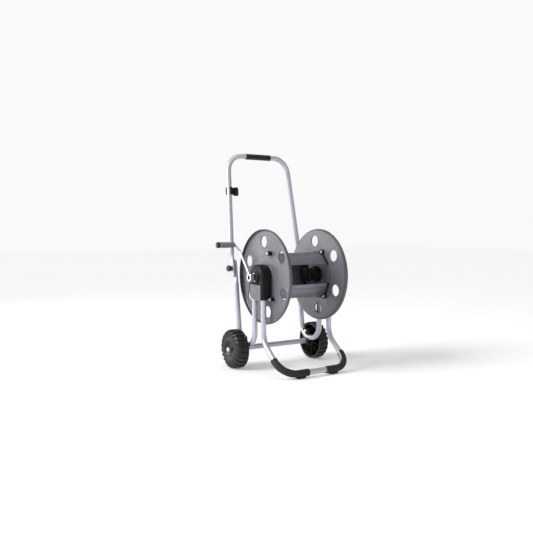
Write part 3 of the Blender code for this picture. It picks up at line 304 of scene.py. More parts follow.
def copied(obj, name, place):
    """A copy with its own mesh, put through a placing matrix."""
    pick(obj)
    bpy.ops.object.duplicate()
    new = bpy.context.object
    new.name = new.data.name = name
    placed(new, place)
    if place.determinant() < 0:
        edit()
        tidy_mesh()
    return new


def mirrored(obj, name):
    """A copy on the other side of the cart's middle plane."""
    flip = Matrix.Translation((2 * REEL.x, 0, 0)) @ Matrix.Diagonal((-1, 1, 1, 1))
    return copied(obj, name, flip)


def other_side(points):
    """The points on the other side of the middle plane, in the order that carries a line on."""
    return [at(REEL.x - p.x, p.y - REEL.y, p.z) for p in reversed(points)]


def turn_about(axis, place, angle):
    """The matrix that turns things about a line through place."""
    place = Vector(place)
    return Matrix.Translation(place) @ Matrix.Rotation(angle, 4, axis) @ Matrix.Translation(-place)


def turned_copies(obj, place, angles):
    """Copies of a piece turned about a line across the cart, in place of the piece itself."""
    copies = [copied(obj, f"{obj.name}_{k}", turn_about("X", place, angle))
              for k, angle in enumerate(angles)]
    bpy.data.objects.remove(obj)
    return copies


def ring_of(obj, name, count, place, axis="X"):
    """Copies of a piece spread evenly round an axis, joined into one."""
    pieces = [obj] + [copied(obj, f"{name}_{k}", turn_about(axis, place, 2 * pi * k / count))
                      for k in range(1, count)]
    return joined(name, pieces)


def arc(y, z, radius, start, end, steps):
    return [(y + radius * cos(start + (end - start) * i / steps),
             z + radius * sin(start + (end - start) * i / steps)) for i in range(steps + 1)]


def sweep(corners, radii, steps=12, marks=()):
    """Extrude the selected outline along straight lines joined by bends.  Marks are distances
    from the start where a straight stretch gets an extra loop."""
    done = 0.0
    here = Vector(corners[0])

    def run(goal):
        nonlocal here, done
        length = (goal - here).length
        along = (goal - here).normalized()
        stops = [m - done for m in marks if 1e-4 < m - done < length - 1e-4] + [length]
        last = 0.0
        for stop in stops:
            step = along * (stop - last)
            bpy.ops.mesh.extrude_region_move(TRANSFORM_OT_translate={"value": step})
            last = stop
        here, done = goal, done + length

    corners = [Vector(c) for c in corners]
    for before, corner, after, radius in zip(corners, corners[1:], corners[2:], radii):
        a, b = (before - corner).normalized(), (after - corner).normalized()
        half = a.angle(b) / 2
        turn = pi - 2 * half
        run(corner + a * (radius / tan(half)))
        bpy.ops.mesh.spin(steps=max(3, round(steps * turn / (pi / 2))), angle=-turn,
                          center=corner + (a + b).normalized() * (radius / sin(half)),
                          axis=(-a).cross(b).normalized())
        here = corner + b * (radius / tan(half))
        done += radius * turn
    run(corners[-1])


def close_ends():
    bpy.ops.mesh.select_all(action="SELECT")
    bpy.ops.mesh.fill_holes(sides=0)
    return tidy_mesh()


def bent_tube(name, corners, radii, radius, sides, steps=12, marks=()):
    """A round tube with bends, closed at both ends."""
    start, ahead = Vector(corners[0]), Vector(corners[1])
    rest()
    bpy.ops.mesh.primitive_circle_add(
        vertices=sides, radius=radius, location=start,
        rotation=(ahead - start).to_track_quat("Z", "Y").to_euler())
    obj = fix_place()
    obj.name = obj.data.name = name
    edit()
    sweep(corners, radii, steps, marks)
    return close_ends()


def press_flat(obj, end, along, radius, flat, blend, thin, wide):
    """Press a tube's end flat across the cart, with a round tip, and blend back to round."""
    end, along = Vector(end), Vector(along).normalized()
    across = (Vector((1, 0, 0)) - along * along.x).normalized()
    square = along.cross(across)
    for vert in obj.data.vertices:
        offset = vert.co - end
        run = offset.dot(along)
        u, v = offset.dot(across), offset.dot(square)
        if run < -0.001 or run > flat + blend or u * u + v * v > (2 * radius) ** 2:
            continue
        share = 1 - max(0.0, run - flat) / blend
        share = share * share * (3 - 2 * share)
        angle = atan2(v, u)
        edge = abs(cos(angle)) ** 0.35 * (1 if cos(angle) > 0 else -1)
        tip = min(1.0, max(run, 0.0) / wide)
        narrow = sqrt(max(0.04, 1 - (1 - tip) ** 2))
        new_u = u + (thin * edge - u) * share
        new_v = v + (wide * narrow * sin(angle) - v) * share
        vert.co += across * (new_u - u) + square * (new_v - v)
    obj.data.update()


def place_in_drum(radius, angle):
    """(y, z) at a radius and an angle measured up from the front, about the drum's axis."""
    return -radius * cos(angle), AXIS_HEIGHT + radius * sin(angle)


def beam_angle(index):
    return 2 * pi * index / BEAMS + pi / 3 + REEL_PHASE


def sizes():
    return bpy.context.scene.hose_cart_sizes


def colours():
    return bpy.context.scene.hose_cart_colours


def finish(obj, look, body, stands_for=(), angle=32):
    """Shade, paint and hand a piece over to the body that it moves with."""
    pick(obj)
    bpy.ops.object.shade_smooth_by_angle(angle=radians(angle))
    obj.data.materials.clear()
    obj.data.materials.append(material(look))
    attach(obj, body)
    if stands_for:
        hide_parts(*stands_for)
    return obj


def finish_both(right, look, body, stands_for=(), angle=32):
    """Finish a right-hand piece and its mirror image, whose names say left for right."""
    left = mirrored(right, right.name.replace("right", "left"))
    finish(right, look, body, stands_for, angle)
    finish(left, look, body.replace("right", "left"),
           [node.replace("right", "left") for node in stands_for], angle)


def repaint(node, look):
    """Give a CAD node that keeps its own shape a better finish."""
    obj = frame["nodes"][node]
    obj.data.materials.clear()
    obj.data.materials.append(material(look))


# ---- finishes ----------------------------------------------------------------------------


class Wire:
    """A shader socket that Python's operators can combine."""

    def __init__(self, tree, socket):
        self.tree, self.socket = tree, socket

    def _math(self, operation, first, second):
        node = self.tree.nodes.new("ShaderNodeMath")
        node.operation = operation
        for slot, value in zip(node.inputs, (first, second)):
            feed(self.tree, slot, value)
        return Wire(self.tree, node.outputs[0])

    def __add__(self, other):
        return self._math("ADD", self, other)

    def __radd__(self, other):
        return self._math("ADD", other, self)

    def __sub__(self, other):
        return self._math("SUBTRACT", self, other)

    def __rsub__(self, other):
        return self._math("SUBTRACT", other, self)

    def __mul__(self, other):
        return self._math("MULTIPLY", self, other)

    def __rmul__(self, other):
        return self._math("MULTIPLY", other, self)

    def __pow__(self, other):
        return self._math("POWER", self, other)


def feed(tree, slot, value):
    """Link a wire to a slot, or set a plain value on it."""
    if isinstance(value, Wire):
        tree.links.new(value.socket, slot)
    elif hasattr(slot.default_value, "__len__") and hasattr(value, "__len__"):
        slot.default_value = (*value, 1)[:len(slot.default_value)]
    else:
        slot.default_value = value


class Finish:
    """A material whose other shader nodes all come from one method."""

    def __init__(self, name):
        self.material = bpy.data.materials.new(name)
        self.material.use_nodes = True
        self.tree = self.material.node_tree
        self.shader = self.tree.nodes["Principled BSDF"]
        self.place = self.node("ShaderNodeTexCoord", output="Object")

    def node(self, kind, settings=None, values=None, output=0):
        """Make a node: its settings first, then the values or wires of its sockets."""
        node = self.tree.nodes.new(kind)
        for key, value in (settings or {}).items():
            if key == "stops":
                ramp = node.color_ramp.elements
                for element, (where, shade) in zip((ramp[0], ramp[1]), value):
                    element.position, element.color = where, (shade, shade, shade, 1)
            else:
                setattr(node, key, value)
        for key, value in (values or {}).items():
            feed(self.tree, node.inputs[key], value)
        return Wire(self.tree, node.outputs[output])

    def noise(self, scale, detail=2.0, stretch=None, roughness=0.5):
        place = self.place
        if stretch:
            place = self.node("ShaderNodeMapping", {}, {"Vector": place, "Scale": stretch})
        return self.node("ShaderNodeTexNoise", {}, {"Vector": place, "Scale": scale,
                                                    "Detail": detail, "Roughness": roughness})

    def ramp(self, wire, low, high):
        """Stretch a wire so that low gives 0 and high gives 1."""
        return self.node("ShaderNodeValToRGB", {"stops": ((low, 0), (high, 1))}, {"Fac": wire})

    def mix(self, share, first, second):
        """Blend two colours."""
        node = self.tree.nodes.new("ShaderNodeMix")
        node.data_type = "RGBA"
        feed(self.tree, node.inputs[0], share)
        feed(self.tree, node.inputs[6], first)
        feed(self.tree, node.inputs[7], second)
        return Wire(self.tree, node.outputs[2])

    def part(self, axis):
        return self.node("ShaderNodeSeparateXYZ", {}, {"Vector": self.place}, output=axis)

    def done(self, **values):
        for key, value in values.items():
            feed(self.tree, self.shader.inputs[key.replace("_", " ")], value)
        return self.material


def scaled(colour, factor):
    return tuple(min(1.0, c * factor) for c in colour)


def bump(paint, height, distance, strength=1.0):
    return paint.node("ShaderNodeBump", {}, {"Height": height, "Distance": distance,
                                             "Strength": strength}, output="Normal")


def painted_tube():
    paint = Finish("silver_tube_paint")
    base = tuple(colours().paint)
    broad = paint.noise(9, 3)
    fine = paint.noise(1300, 1)
    scuff = paint.ramp(paint.noise(60, 4, (1, 1, 0.25)), 0.62, 0.72)
    colour = paint.mix(broad, scaled(base, 0.93), scaled(base, 1.06))
    colour = paint.mix(scuff * 0.25, colour, scaled(base, 0.72))
    return paint.done(Base_Color=colour, Metallic=0.6, Roughness=0.34 + fine * 0.08 + scuff * 0.12,
                      Coat_Weight=0.2, Coat_Roughness=0.2, Normal=bump(paint, fine, 0.00002, 0.2))


def moulded(name, base, rough, grain=900, depth=0.00006, dust=0.0, coat=0.0):
    """Moulded plastic: fine grain, slow flow marks and patches of dust."""
    paint = Finish(name)
    flow = paint.noise(14, 3)
    fine = paint.noise(grain, 2)
    colour = paint.mix(flow, scaled(base, 0.88), scaled(base, 1.12))
    if dust:
        speck = paint.ramp(paint.noise(45, 5), 0.45, 0.75)
        colour = paint.mix(speck * dust, colour, tuple(0.6 * c + 0.05 for c in base))
    return paint.done(Base_Color=colour, Roughness=(rough - 0.05) + fine * 0.12,
                      Specular_IOR_Level=0.2, Coat_Weight=coat, Coat_Roughness=0.2,
                      Normal=bump(paint, fine, depth, 0.6))


def black_plastic():
    return moulded("black_moulded_plastic", tuple(colours().black), 0.42, dust=0.10)


def gloss_black():
    return moulded("gloss_black_plastic", tuple(colours().black), 0.24, 600, 0.00003, coat=0.12)


def wheel_plastic():
    return moulded("wheel_plastic", tuple(colours().wheel), 0.40, 700, 0.0001, dust=0.16, coat=0.15)


def foot_rubber():
    return moulded("foot_rubber", tuple(colours().foot), 0.55, 1100, 0.0001, dust=0.15)


def knob_plastic():
    return moulded("knob_plastic", tuple(colours().knob), 0.40)


def cover_plastic():
    return moulded("cover_plastic", tuple(colours().cover), 0.42)


def grip_plastic():
    return moulded("grip_plastic", tuple(colours().grip), 0.45, 1000, 0.00008)


def flange_plastic():
    """Grey plastic with faint turned marks round the drum's axis and scuffs from the hose, plus
    painted shade: a dark band inside the lip and darkening towards the hub.
    """
    paint = Finish("flange_plastic")
    base = tuple(colours().flange)
    flow = paint.noise(10, 3)
    fine = paint.noise(800, 2)
    y = paint.part("Y") - REEL.y
    z = paint.part("Z") - REEL.z
    radius = (y * y + z * z) ** 0.5
    turned_marks = paint.node("ShaderNodeTexNoise", {"noise_dimensions": "1D"},
                              {"W": radius, "Scale": 420.0, "Detail": 2.0})
    scuff = paint.ramp(paint.noise(26, 6), 0.60, 0.78)
    colour = paint.mix(flow, scaled(base, 0.90), scaled(base, 1.10))
    colour = paint.mix(turned_marks * 0.22, colour, scaled(base, 1.28))
    colour = paint.mix(scuff * 0.18, colour, scaled(base, 0.70))
    # Painted shade: a dark band near the rim, over the inside of the lip, standing in for the shade
    # there.
    lip_shade_start = paint.ramp(radius, FLANGE_RADIUS - 0.0056, FLANGE_RADIUS - 0.0044)
    lip_shade_end = paint.ramp(radius, FLANGE_RADIUS - 0.0024, FLANGE_RADIUS - 0.0012)
    colour = paint.mix(lip_shade_start * (1 - lip_shade_end) * 0.80, colour, scaled(base, 0.12))
    # Painted shade: the flange grows darker towards the hub.
    colour = paint.mix((1 - paint.ramp(radius, 0.036, 0.10)) * 0.35, colour, scaled(base, 0.45))
    return paint.done(Base_Color=colour, Roughness=0.33 + fine * 0.10 + scuff * 0.10,
                      Normal=bump(paint, fine + turned_marks * 0.5, 0.00006, 0.6),
                      Coat_Weight=0.12, Coat_Roughness=0.25)


def beam_metal():
    """Extruded metal with die lines along its length."""
    paint = Finish("extruded_beam_metal")
    base = tuple(colours().beam)
    lines = paint.noise(260, 2, (0.01, 1, 1))
    broad = paint.noise(12, 2)
    colour = paint.mix(lines, scaled(base, 0.86), scaled(base, 1.16))
    colour = paint.mix(broad * 0.3, colour, scaled(base, 1.2))
    return paint.done(Base_Color=colour, Metallic=0.75, Roughness=0.34 + lines * 0.12,
                      Normal=bump(paint, lines, 0.00006, 0.6))


def bright_steel():
    paint = Finish("bright_plated_steel")
    base = tuple(colours().steel)
    fine = paint.noise(700, 2)
    cloud = paint.noise(70, 3)
    return paint.done(Base_Color=paint.mix(cloud, scaled(base, 0.92), scaled(base, 1.1)),
                      Metallic=1.0, Roughness=0.18 + fine * 0.14, Normal=bump(paint, fine, 0.00002))


def crank_plating():
    paint = Finish("crank_plating")
    base = tuple(colours().crank)
    cloud = paint.noise(50, 4)
    return paint.done(Base_Color=paint.mix(cloud, scaled(base, 0.94), scaled(base, 1.1)),
                      Metallic=0.9, Roughness=0.28 + cloud * 0.08)


# Near-black finish for the bearing bushes and the crank screw: painted shade, darker than the black
# plastic, standing in for the shade deep inside their bores.
def bore_shade_black():
    return moulded("bore_shade_black", (0.006, 0.006, 0.006), 0.6)


def floor_finish():
    paint = Finish("studio_floor")
    base = tuple(colours().floor)
    cloud = paint.noise(1.5, 3)
    return paint.done(Base_Color=paint.mix(cloud, scaled(base, 0.995), scaled(base, 1.005)),
                      Roughness=0.7, Emission_Color=(1, 1, 1, 1), Emission_Strength=0.22)


LOOKS = {
    "tube": painted_tube, "black": black_plastic, "gloss": gloss_black, "wheel": wheel_plastic,
    "foot": foot_rubber, "knob": knob_plastic, "cover": cover_plastic, "grip": grip_plastic,
    "flange": flange_plastic, "beam": beam_metal, "steel": bright_steel, "crank": crank_plating,
    "bore": bore_shade_black, "floor": floor_finish,
}
made_looks = {}


def material(look):
    if look not in made_looks:
        made_looks[look] = LOOKS[look]()
    return made_looks[look]


# ---- tube frame --------------------------------------------------------------------------


FLAT_REACH = 0.036             # flat tube beyond a pivot
FLAT_LENGTH, FLAT_BLEND = 0.076, 0.030
FLAT_MARKS = (0.002, 0.005, 0.009, 0.014, 0.03, 0.05, 0.076, 0.083, 0.090, 0.097, 0.106)
TUBE_TOP = AXIS_HEIGHT - 0.0244
SIDE_LEG_Y, FRONT_LEG_Y = 0.029, -0.0374
LOOP_HEIGHT, LOOP_REAR_Y = AXLE_HEIGHT + 0.0185, 0.148
FOOT_BAR_HEIGHT, FOOT_KNEE_HEIGHT = 0.0205, 0.129
SIDE_BEND, KNEE_BEND, FOOT_BEND = 0.058, 0.080, 0.070


def rear_leg_y(height):
    lean = (PIVOT_Y - LOOP_REAR_Y) / (PIVOT_HEIGHT - LOOP_HEIGHT)
    return LOOP_REAR_Y + lean * (height - LOOP_HEIGHT)


def side_frame():
    """The right side frame: up the drum's side, round the bottom and up the sloping rear leg."""
    size = sizes()
    top = PIVOT_HEIGHT + FLAT_REACH
    corners = [at(FRAME_X, rear_leg_y(top), top), at(FRAME_X, LOOP_REAR_Y, LOOP_HEIGHT),
               at(FRAME_X, SIDE_LEG_Y, LOOP_HEIGHT), at(FRAME_X, SIDE_LEG_Y, TUBE_TOP)]
    obj = bent_tube("right_side_tube", corners, [SIDE_BEND, SIDE_BEND], size.tube_radius,
                    size.tube_sides, marks=FLAT_MARKS)
    press_flat(obj, corners[0], corners[1] - corners[0], size.tube_radius, FLAT_LENGTH, FLAT_BLEND,
               FLAT_THIN, FLAT_WIDE)
    return obj


class AddFrameTubes(bpy.types.Operator):
    """Bend the side frames, the front leg loop and the axle's cross tube"""

    bl_idname = "hose_cart.add_frame_tubes"
    bl_label = "Frame tubes"

    def execute(self, context):
        size = sizes()
        finish_both(side_frame(), "tube", "frame", ["right_side_frame"])
        left = [at(-FRAME_X, FRONT_LEG_Y, TUBE_TOP), at(-FRAME_X, FRONT_LEG_Y, FOOT_KNEE_HEIGHT),
                at(-FRAME_X, FOOT_BAR_Y, FOOT_BAR_HEIGHT)]
        loop = bent_tube("front_leg_tube", left + other_side(left),
                         [KNEE_BEND, FOOT_BEND, FOOT_BEND, KNEE_BEND],
                         size.tube_radius, size.tube_sides, 16)
        finish(loop, "tube", "frame", ["front_leg_loop"])
        end, r = high_x("axle_tube"), size.tube_radius
        cross = turned("axle_cross_tube", [
            (-end, r - 0.0015), (-end, r - 0.0004), (-end + 0.0004, r), (end - 0.0004, r),
            (end, r - 0.0004), (end, r - 0.0015)], AXLE_Y, AXLE_HEIGHT, 48)
        finish(cross, "tube", "frame", ["axle_tube"])
        repaint("axle_rod", "steel")
        return {"FINISHED"}


# ---- push handle -------------------------------------------------------------------------


BAR_CORNER_X = 0.1483          # of the handle's legs, run on to the height of its bar
KNEE_RISE = 0.060              # of the slight bend above each pivot
LEG_BEND, BAR_BEND = 0.30, 0.070
HOSE_RADIUS = 0.011            # inside the clip's free spring
CLIP_WALL, CLIP_TALL, CLIP_BRIDGE = 0.0028, 0.0318, 0.0048


def handle_corners():
    top_y = HANDLE_TOP.y - REEL.y
    slope = (top_y - PIVOT_Y) / (HANDLE_TOP.z - PIVOT_HEIGHT)
    foot, knee = PIVOT_HEIGHT - FLAT_REACH, PIVOT_HEIGHT + KNEE_RISE
    left = [at(-HANDLE_X, PIVOT_Y + slope * (foot - PIVOT_HEIGHT), foot),
            at(-HANDLE_X, PIVOT_Y + slope * (knee - PIVOT_HEIGHT), knee),
            at(-BAR_CORNER_X, top_y, HANDLE_TOP.z)]
    return left + other_side(left)


class AddPushHandle(bpy.types.Operator):
    """Bend the push handle and fit its grip band and the double hose clip"""

    bl_idname = "hose_cart.add_push_handle"
    bl_label = "Push handle"

    def execute(self, context):
        size = sizes()
        corners = handle_corners()
        obj = bent_tube("push_handle_tube", corners, [LEG_BEND, BAR_BEND, BAR_BEND, LEG_BEND],
                        size.tube_radius, size.tube_sides, 16, FLAT_MARKS)
        pick(obj)
        end, before = corners[-1], corners[-2]
        along = (before - end).normalized()
        for mark in FLAT_MARKS:
            edit()
            bpy.ops.mesh.bisect(plane_co=end + along * mark, plane_no=along)
            bpy.ops.object.mode_set(mode="OBJECT")
        for end, ahead in ((corners[0], corners[1]), (corners[-1], corners[-2])):
            press_flat(obj, end, ahead - end, size.tube_radius, FLAT_LENGTH, FLAT_BLEND,
                       FLAT_THIN, FLAT_WIDE)
        finish(obj, "tube", "handle", ["handle_tube"])
        self.band()
        self.clip()
        return {"FINISHED"}

    def band(self):
        """A shrunk-on sleeve with rolled ends and two fine lines along its front."""
        y, z = HANDLE_TOP.y - REEL.y, HANDLE_TOP.z
        half, inner, outer = high_x("handle_grip_band"), sizes().tube_radius + GAP, BAND_RADIUS
        profile = [(-half, inner), (-half, outer - 0.0007), (-half + 0.0003, outer - 0.0002),
                   (-half + 0.0010, outer), (-half + 0.0028, outer),
                   (-half + 0.0032, outer - 0.0004)]
        profile += [(-x, r) for x, r in profile[::-1]]
        band = turned("grip_band_sleeve", profile, y, z, 64)
        finish(band, "black", "handle", ["handle_grip_band"])
        radius, sunk, reach = 0.00032, 0.0003, half - 0.005
        for k, angle in enumerate((radians(205), radians(150))):
            line_y, line_z = y + (outer - sunk) * cos(angle), z - (outer - sunk) * sin(angle)
            line = rod(f"grip_band_line_{k + 1}", at(-reach, line_y, line_z),
                       at(reach, line_y, line_z), radius, 10)
            finish(line, "cover", "handle", ())

    def clip(self):
        """Two C springs side by side: one grips the handle's leg, the other holds the hose."""
        corners = handle_corners()
        low, high = corners[1], corners[2]
        middle = (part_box("hose_clip")[0].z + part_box("hose_clip")[1].z) / 2
        centre = low + (high - low) * ((middle - low.z) / (high.z - low.z))
        along = (high - low).normalized()
        across = (Vector((1, 0, 0)) - along * along.x).normalized()
        forward = along.cross(across)
        turn = Matrix((across, forward, along)).transposed().to_4x4()
        wall, grip_in = CLIP_WALL, sizes().tube_radius + GAP
        apart = grip_in + wall + HOSE_RADIUS + wall + CLIP_BRIDGE
        springs = ((0, grip_in, radians(205)), (apart, HOSE_RADIUS, radians(-35)))
        pieces = [self.spring(*spring) for spring in springs]
        web_top = CLIP_TALL / 2 - 0.0012
        web = block("clip_web", (grip_in + wall * 0.3, -0.0040, -web_top),
                    (apart - HOSE_RADIUS - wall * 0.3, 0.0040, web_top))
        pieces.append(bevel(web, 0.0005, 2))
        for height in (-0.0105, 0.0, 0.0105):
            rib = block("clip_rib", (-grip_in - wall - 0.0004, -0.0022, height - 0.0006),
                        (-grip_in - wall * 0.5, 0.0022, height + 0.0006))
            pieces.append(bevel(rib, 0.0002, 1))
        obj = placed(joined("double_hose_clip", pieces), Matrix.Translation(centre) @ turn)
        finish(obj, "gloss", "handle", ["hose_clip"], 40)

    def spring(self, x, inner, mouth):
        """One C spring about x, whose opening faces the mouth angle and has flared lips."""
        half, blend = radians(50), 0.06
        start, end = mouth + half, mouth + 2 * pi - half
        outer = inner + CLIP_WALL
        lips = [(x + (outer + 0.0012) * cos(a), (outer + 0.0012) * sin(a)) for a in (start, end)]
        outline = arc(x, 0, outer, start + blend, end - blend, 30) + [lips[1]]
        outline += arc(x, 0, inner, end, start, 30) + [lips[0]]
        c_shape = extruded("clip_spring", [(u, v, -CLIP_TALL / 2) for u, v in outline],
                           (0, 0, CLIP_TALL))
        return bevel(c_shape, 0.0005, 2, 50)


class AddPivotKnobs(bpy.types.Operator):
    """Shape the lobed clamp knobs and the bolts through the handle's pivots"""

    bl_idname = "hose_cart.add_pivot_knobs"
    bl_label = "Clamp knobs"

    def execute(self, context):
        low, high = low_x("right_clamp_knob"), high_x("right_clamp_knob")
        lobes, steps = 6, 8
        middle, swell = 0.0125, 0.0009
        outline = []
        for k in range(lobes * steps):
            angle = 2 * pi * k / (lobes * steps)
            radius = middle + swell * cos(lobes * angle)
            outline.append((PIVOT_Y + radius * cos(angle), PIVOT_HEIGHT + radius * sin(angle)))
        head = bevel(slab("knob_head", outline, low + 0.006, high), 0.0014, 3, 50)
        collar = turned("knob_collar", [
            (low, 0.0034), (low, 0.0078), (low + 0.0006, 0.0084), (low + 0.004, 0.0088),
            (low + 0.0065, 0.0105), (low + 0.0065, 0.0034)], PIVOT_Y, PIVOT_HEIGHT, 40)
        dish = turned("knob_dish", [
            (high - 0.0012, 0), (high - 0.0012, 0.0060), (high + 0.001, 0.0082), (high + 0.001, 0)],
            PIVOT_Y, PIVOT_HEIGHT, 40)
        cut(head, dish)
        cap = turned("knob_cap", [
            (high - 0.0016, 0), (high - 0.0016, 0.0046), (high - 0.0006, 0.0046),
            (high - 0.0002, 0.0040), (high - 0.0002, 0)], PIVOT_Y, PIVOT_HEIGHT, 32)
        finish_both(joined("right_knob", [head, collar, cap]), "knob", "right_knob",
                    ["right_clamp_knob"])
        start, end = low_x("right_pivot_bolt"), high_x("right_pivot_bolt")
        face = start + 0.0035
        bolt = turned("right_pivot_screw", [
            (start, 0), (start, 0.0036), (start + 0.0006, 0.0056), (start + 0.0016, 0.0072),
            (face - 0.0006, 0.0080), (face, 0.0078), (face, 0.003), (end - 0.0006, 0.003),
            (end, 0.0024), (end, 0)], PIVOT_Y, PIVOT_HEIGHT, 40)
        finish_both(bolt, "knob", "frame", ["right_pivot_bolt"])
        return {"FINISHED"}


# ---- feet --------------------------------------------------------------------------------


class AddFootSleeves(bpy.types.Operator):
    """Mould the ribbed C-section sleeves and pads on the front loop's corners"""

    bl_idname = "hose_cart.add_foot_sleeves"
    bl_label = "Foot sleeves"

    def execute(self, context):
        slope = (FRONT_LEG_Y - FOOT_BAR_Y) / (FOOT_KNEE_HEIGHT - FOOT_BAR_HEIGHT)
        rise, inner_x = 0.069, 0.042
        corners = [at(FRAME_X, FOOT_BAR_Y + slope * (rise - FOOT_BAR_HEIGHT), rise),
                   at(FRAME_X, FOOT_BAR_Y, FOOT_BAR_HEIGHT),
                   at(inner_x, FOOT_BAR_Y, FOOT_BAR_HEIGHT)]
        leg = (corners[1] - corners[0]).normalized()
        bar = (corners[2] - corners[1]).normalized()
        plane = leg.cross(bar).normalized()
        square = leg.cross(plane)
        inner, outer, mouth = sizes().tube_radius + GAP, 0.0145, radians(80)
        start, turn, steps = -pi / 2 + mouth / 2, 2 * pi - mouth, 44
        section = []
        for k in range(steps + 1):
            share = k / steps
            rib = 0.00028 * (1 if k % 4 in (1, 2) and 0.06 < share < 0.94 else -1)
            lip = 0.0005 if share in (0, 1) else 0
            section.append((start + turn * share, outer - 0.0003 + rib - lip))
        section += [(start + turn * (1 - k / steps), inner) for k in range(steps + 1)]
        trace("right_foot_shell", [corners[0] + plane * r * cos(a) + square * r * sin(a)
                                   for a, r in section], close=True)
        sweep(corners, [FOOT_BEND], 16)
        finish_both(close_ends(), "foot", "frame", ["right_foot_sleeve"], 25)
        finish_both(self.pad(), "foot", "frame", ())
        return {"FINISHED"}

    def pad(self):
        """A block under the sleeve that narrows to a grooved sole."""
        middle, long, deep, top = 0.078, 0.042, 0.021, FOOT_BAR_HEIGHT - 0.0118
        sole_long, sole_deep = 0.030, 0.018
        pad = block("right_foot_pad", at(middle - long / 2, FOOT_BAR_Y - deep / 2, 0),
                    at(middle + long / 2, FOOT_BAR_Y + deep / 2, top))
        pick(pad)
        edit("DESELECT")
        mesh = bmesh.from_edit_mesh(pad.data)
        for face in mesh.faces:
            face.select = face.normal.z < -0.5
        bpy.ops.transform.resize(value=(sole_long / long, sole_deep / deep, 1),
                                 center_override=at(middle, FOOT_BAR_Y, 0))
        bpy.ops.object.mode_set(mode="OBJECT")
        bevel(pad, 0.0012, 3)
        grooves = []
        for k in range(5):
            x = middle + (k - 2) * 0.0055
            grooves.append(block("pad_groove", at(x - 0.0008, FOOT_BAR_Y - 0.02, -0.001),
                                 at(x + 0.0008, FOOT_BAR_Y + 0.02, 0.0010)))
        return cut(pad, joined("pad_grooves", grooves))


# ---- axle --------------------------------------------------------------------------------


class AddAxleBrackets(bpy.types.Operator):
    """Mould the brackets that hold the axle tube under the side frames"""

    bl_idname = "hose_cart.add_axle_brackets"
    bl_label = "Axle brackets"

    def execute(self, context):
        inner, outer = low_x("right_axle_bracket"), high_x("right_axle_bracket")
        low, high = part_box("right_axle_bracket")
        front, rear = low.y - REEL.y, high.y - REEL.y
        foot, top = low.z, high.z
        nose = 0.010
        outline = arc(rear - nose, foot + nose, nose, -pi / 2, 0, 5)
        outline += arc(rear - nose, top - nose, nose, 0, pi / 2, 5)
        outline += arc(front + nose, top - nose, nose, pi / 2, pi, 5)
        outline += arc(front + nose, foot + nose, nose, pi, 1.5 * pi, 5)
        body = bevel(slab("right_bracket_body", outline, inner, outer), 0.0012, 3, 50)
        hollow = slab("bracket_hollow", [
            (front + 0.006, foot + 0.030), (rear - 0.006, foot + 0.030),
            (rear - 0.006, top - 0.024), (front + 0.006, top - 0.024)],
            outer - 0.0015, outer + 0.005)
        cut(body, hollow)
        bolt_y, bolt_z = front + 0.021, top - 0.010
        cut(body, rod("bolt_hole", at(inner - 0.01, bolt_y, bolt_z),
                      at(outer - 0.004, bolt_y, bolt_z), 0.0033))
        cut(body, rod("rod_hole", at(inner - 0.01, AXLE_Y, AXLE_HEIGHT),
                      at(outer + 0.01, AXLE_Y, AXLE_HEIGHT), 0.0053))
        rim = turned("bracket_rim", [
            (outer - 0.001, 0.0053), (outer - 0.001, 0.0115), (outer + 0.0006, 0.0110),
            (outer + 0.0010, 0.0102), (outer + 0.0010, 0.0053)], AXLE_Y, AXLE_HEIGHT, 40)
        finish_both(joined("right_bracket_block", [body, rim]), "black", "frame",
                    ["right_axle_bracket"])
        start = low_x("right_bracket_bolt")
        head = [(start, 0), (start, 0.0040), (start + 0.0006, 0.0058), (start + 0.0018, 0.0071),
                (start + 0.004, 0.0075), (start + 0.004, 0.003), (outer - 0.0045, 0.003),
                (outer - 0.0045, 0)]
        bolt = turned("right_bracket_screw", head, bolt_y, bolt_z, 40)
        finish_both(bolt, "steel", "frame", ["right_bracket_bolt"])
        return {"FINISHED"}


# ---- bearings ----------------------------------------------------------------------------


CASING_HALF, CASING_DROP, CASING_CORNER = 0.050, 0.084, 0.017


def casing_outline():
    half, foot, corner = CASING_HALF, AXIS_HEIGHT - CASING_DROP, CASING_CORNER
    outline = arc(0, AXIS_HEIGHT, half, 0, pi, 32)
    outline += arc(-half + corner, foot + corner, corner, pi, 1.5 * pi, 8)
    return outline + arc(half - corner, foot + corner, corner, 1.5 * pi, 2 * pi, 8)


def casing_body():
    """The right bearing casing: an arched box with a hub rim, tube collars and screw wells."""
    body = slab("right_casing", casing_outline(), CASING_IN, CASING_OUT - 0.0004)
    bevel(body, 0.006, 4, 50)
    lip = turned("casing_rim", [
        (CASING_OUT - 0.004, 0.0167), (CASING_OUT - 0.004, 0.026), (CASING_OUT - 0.0008, 0.0255),
        (CASING_OUT, 0.0245), (CASING_OUT, 0.0167)], 0, AXIS_HEIGHT, 56)
    cut(body, rod("bush_hole", at(CASING_IN - 0.01, 0, AXIS_HEIGHT),
                  at(CASING_OUT + 0.01, 0, AXIS_HEIGHT), 0.0168, 56))
    foot = AXIS_HEIGHT - CASING_DROP
    parts = [body, lip]
    parts += [socket_collar(y, foot - 0.0045, foot + 0.010) for y in (FRONT_LEG_Y, SIDE_LEG_Y)]
    for angle in (radians(62), radians(118)):
        y, z = 0.038 * cos(angle), AXIS_HEIGHT + 0.038 * sin(angle)
        parts.append(turned("casing_screw_well", [
            (CASING_OUT - 0.003, 0), (CASING_OUT - 0.003, 0.0042), (CASING_OUT - 0.0002, 0.0040),
            (CASING_OUT - 0.0002, 0.0026), (CASING_OUT - 0.0012, 0.0022), (CASING_OUT - 0.0012, 0)],
            y, z, 24))
    return joined("right_casing_shell", parts)


def socket_collar(y, low, high):
    """A short collar round a tube where it enters the casing."""
    inner, outer = sizes().tube_radius + GAP, sizes().tube_radius + 0.0030
    profile = [(inner, low), (outer - 0.0008, low), (outer, low + 0.0008), (outer, high),
               (inner, high)]
    return turned_upright("socket_collar", profile, at(FRAME_X, y, 0))


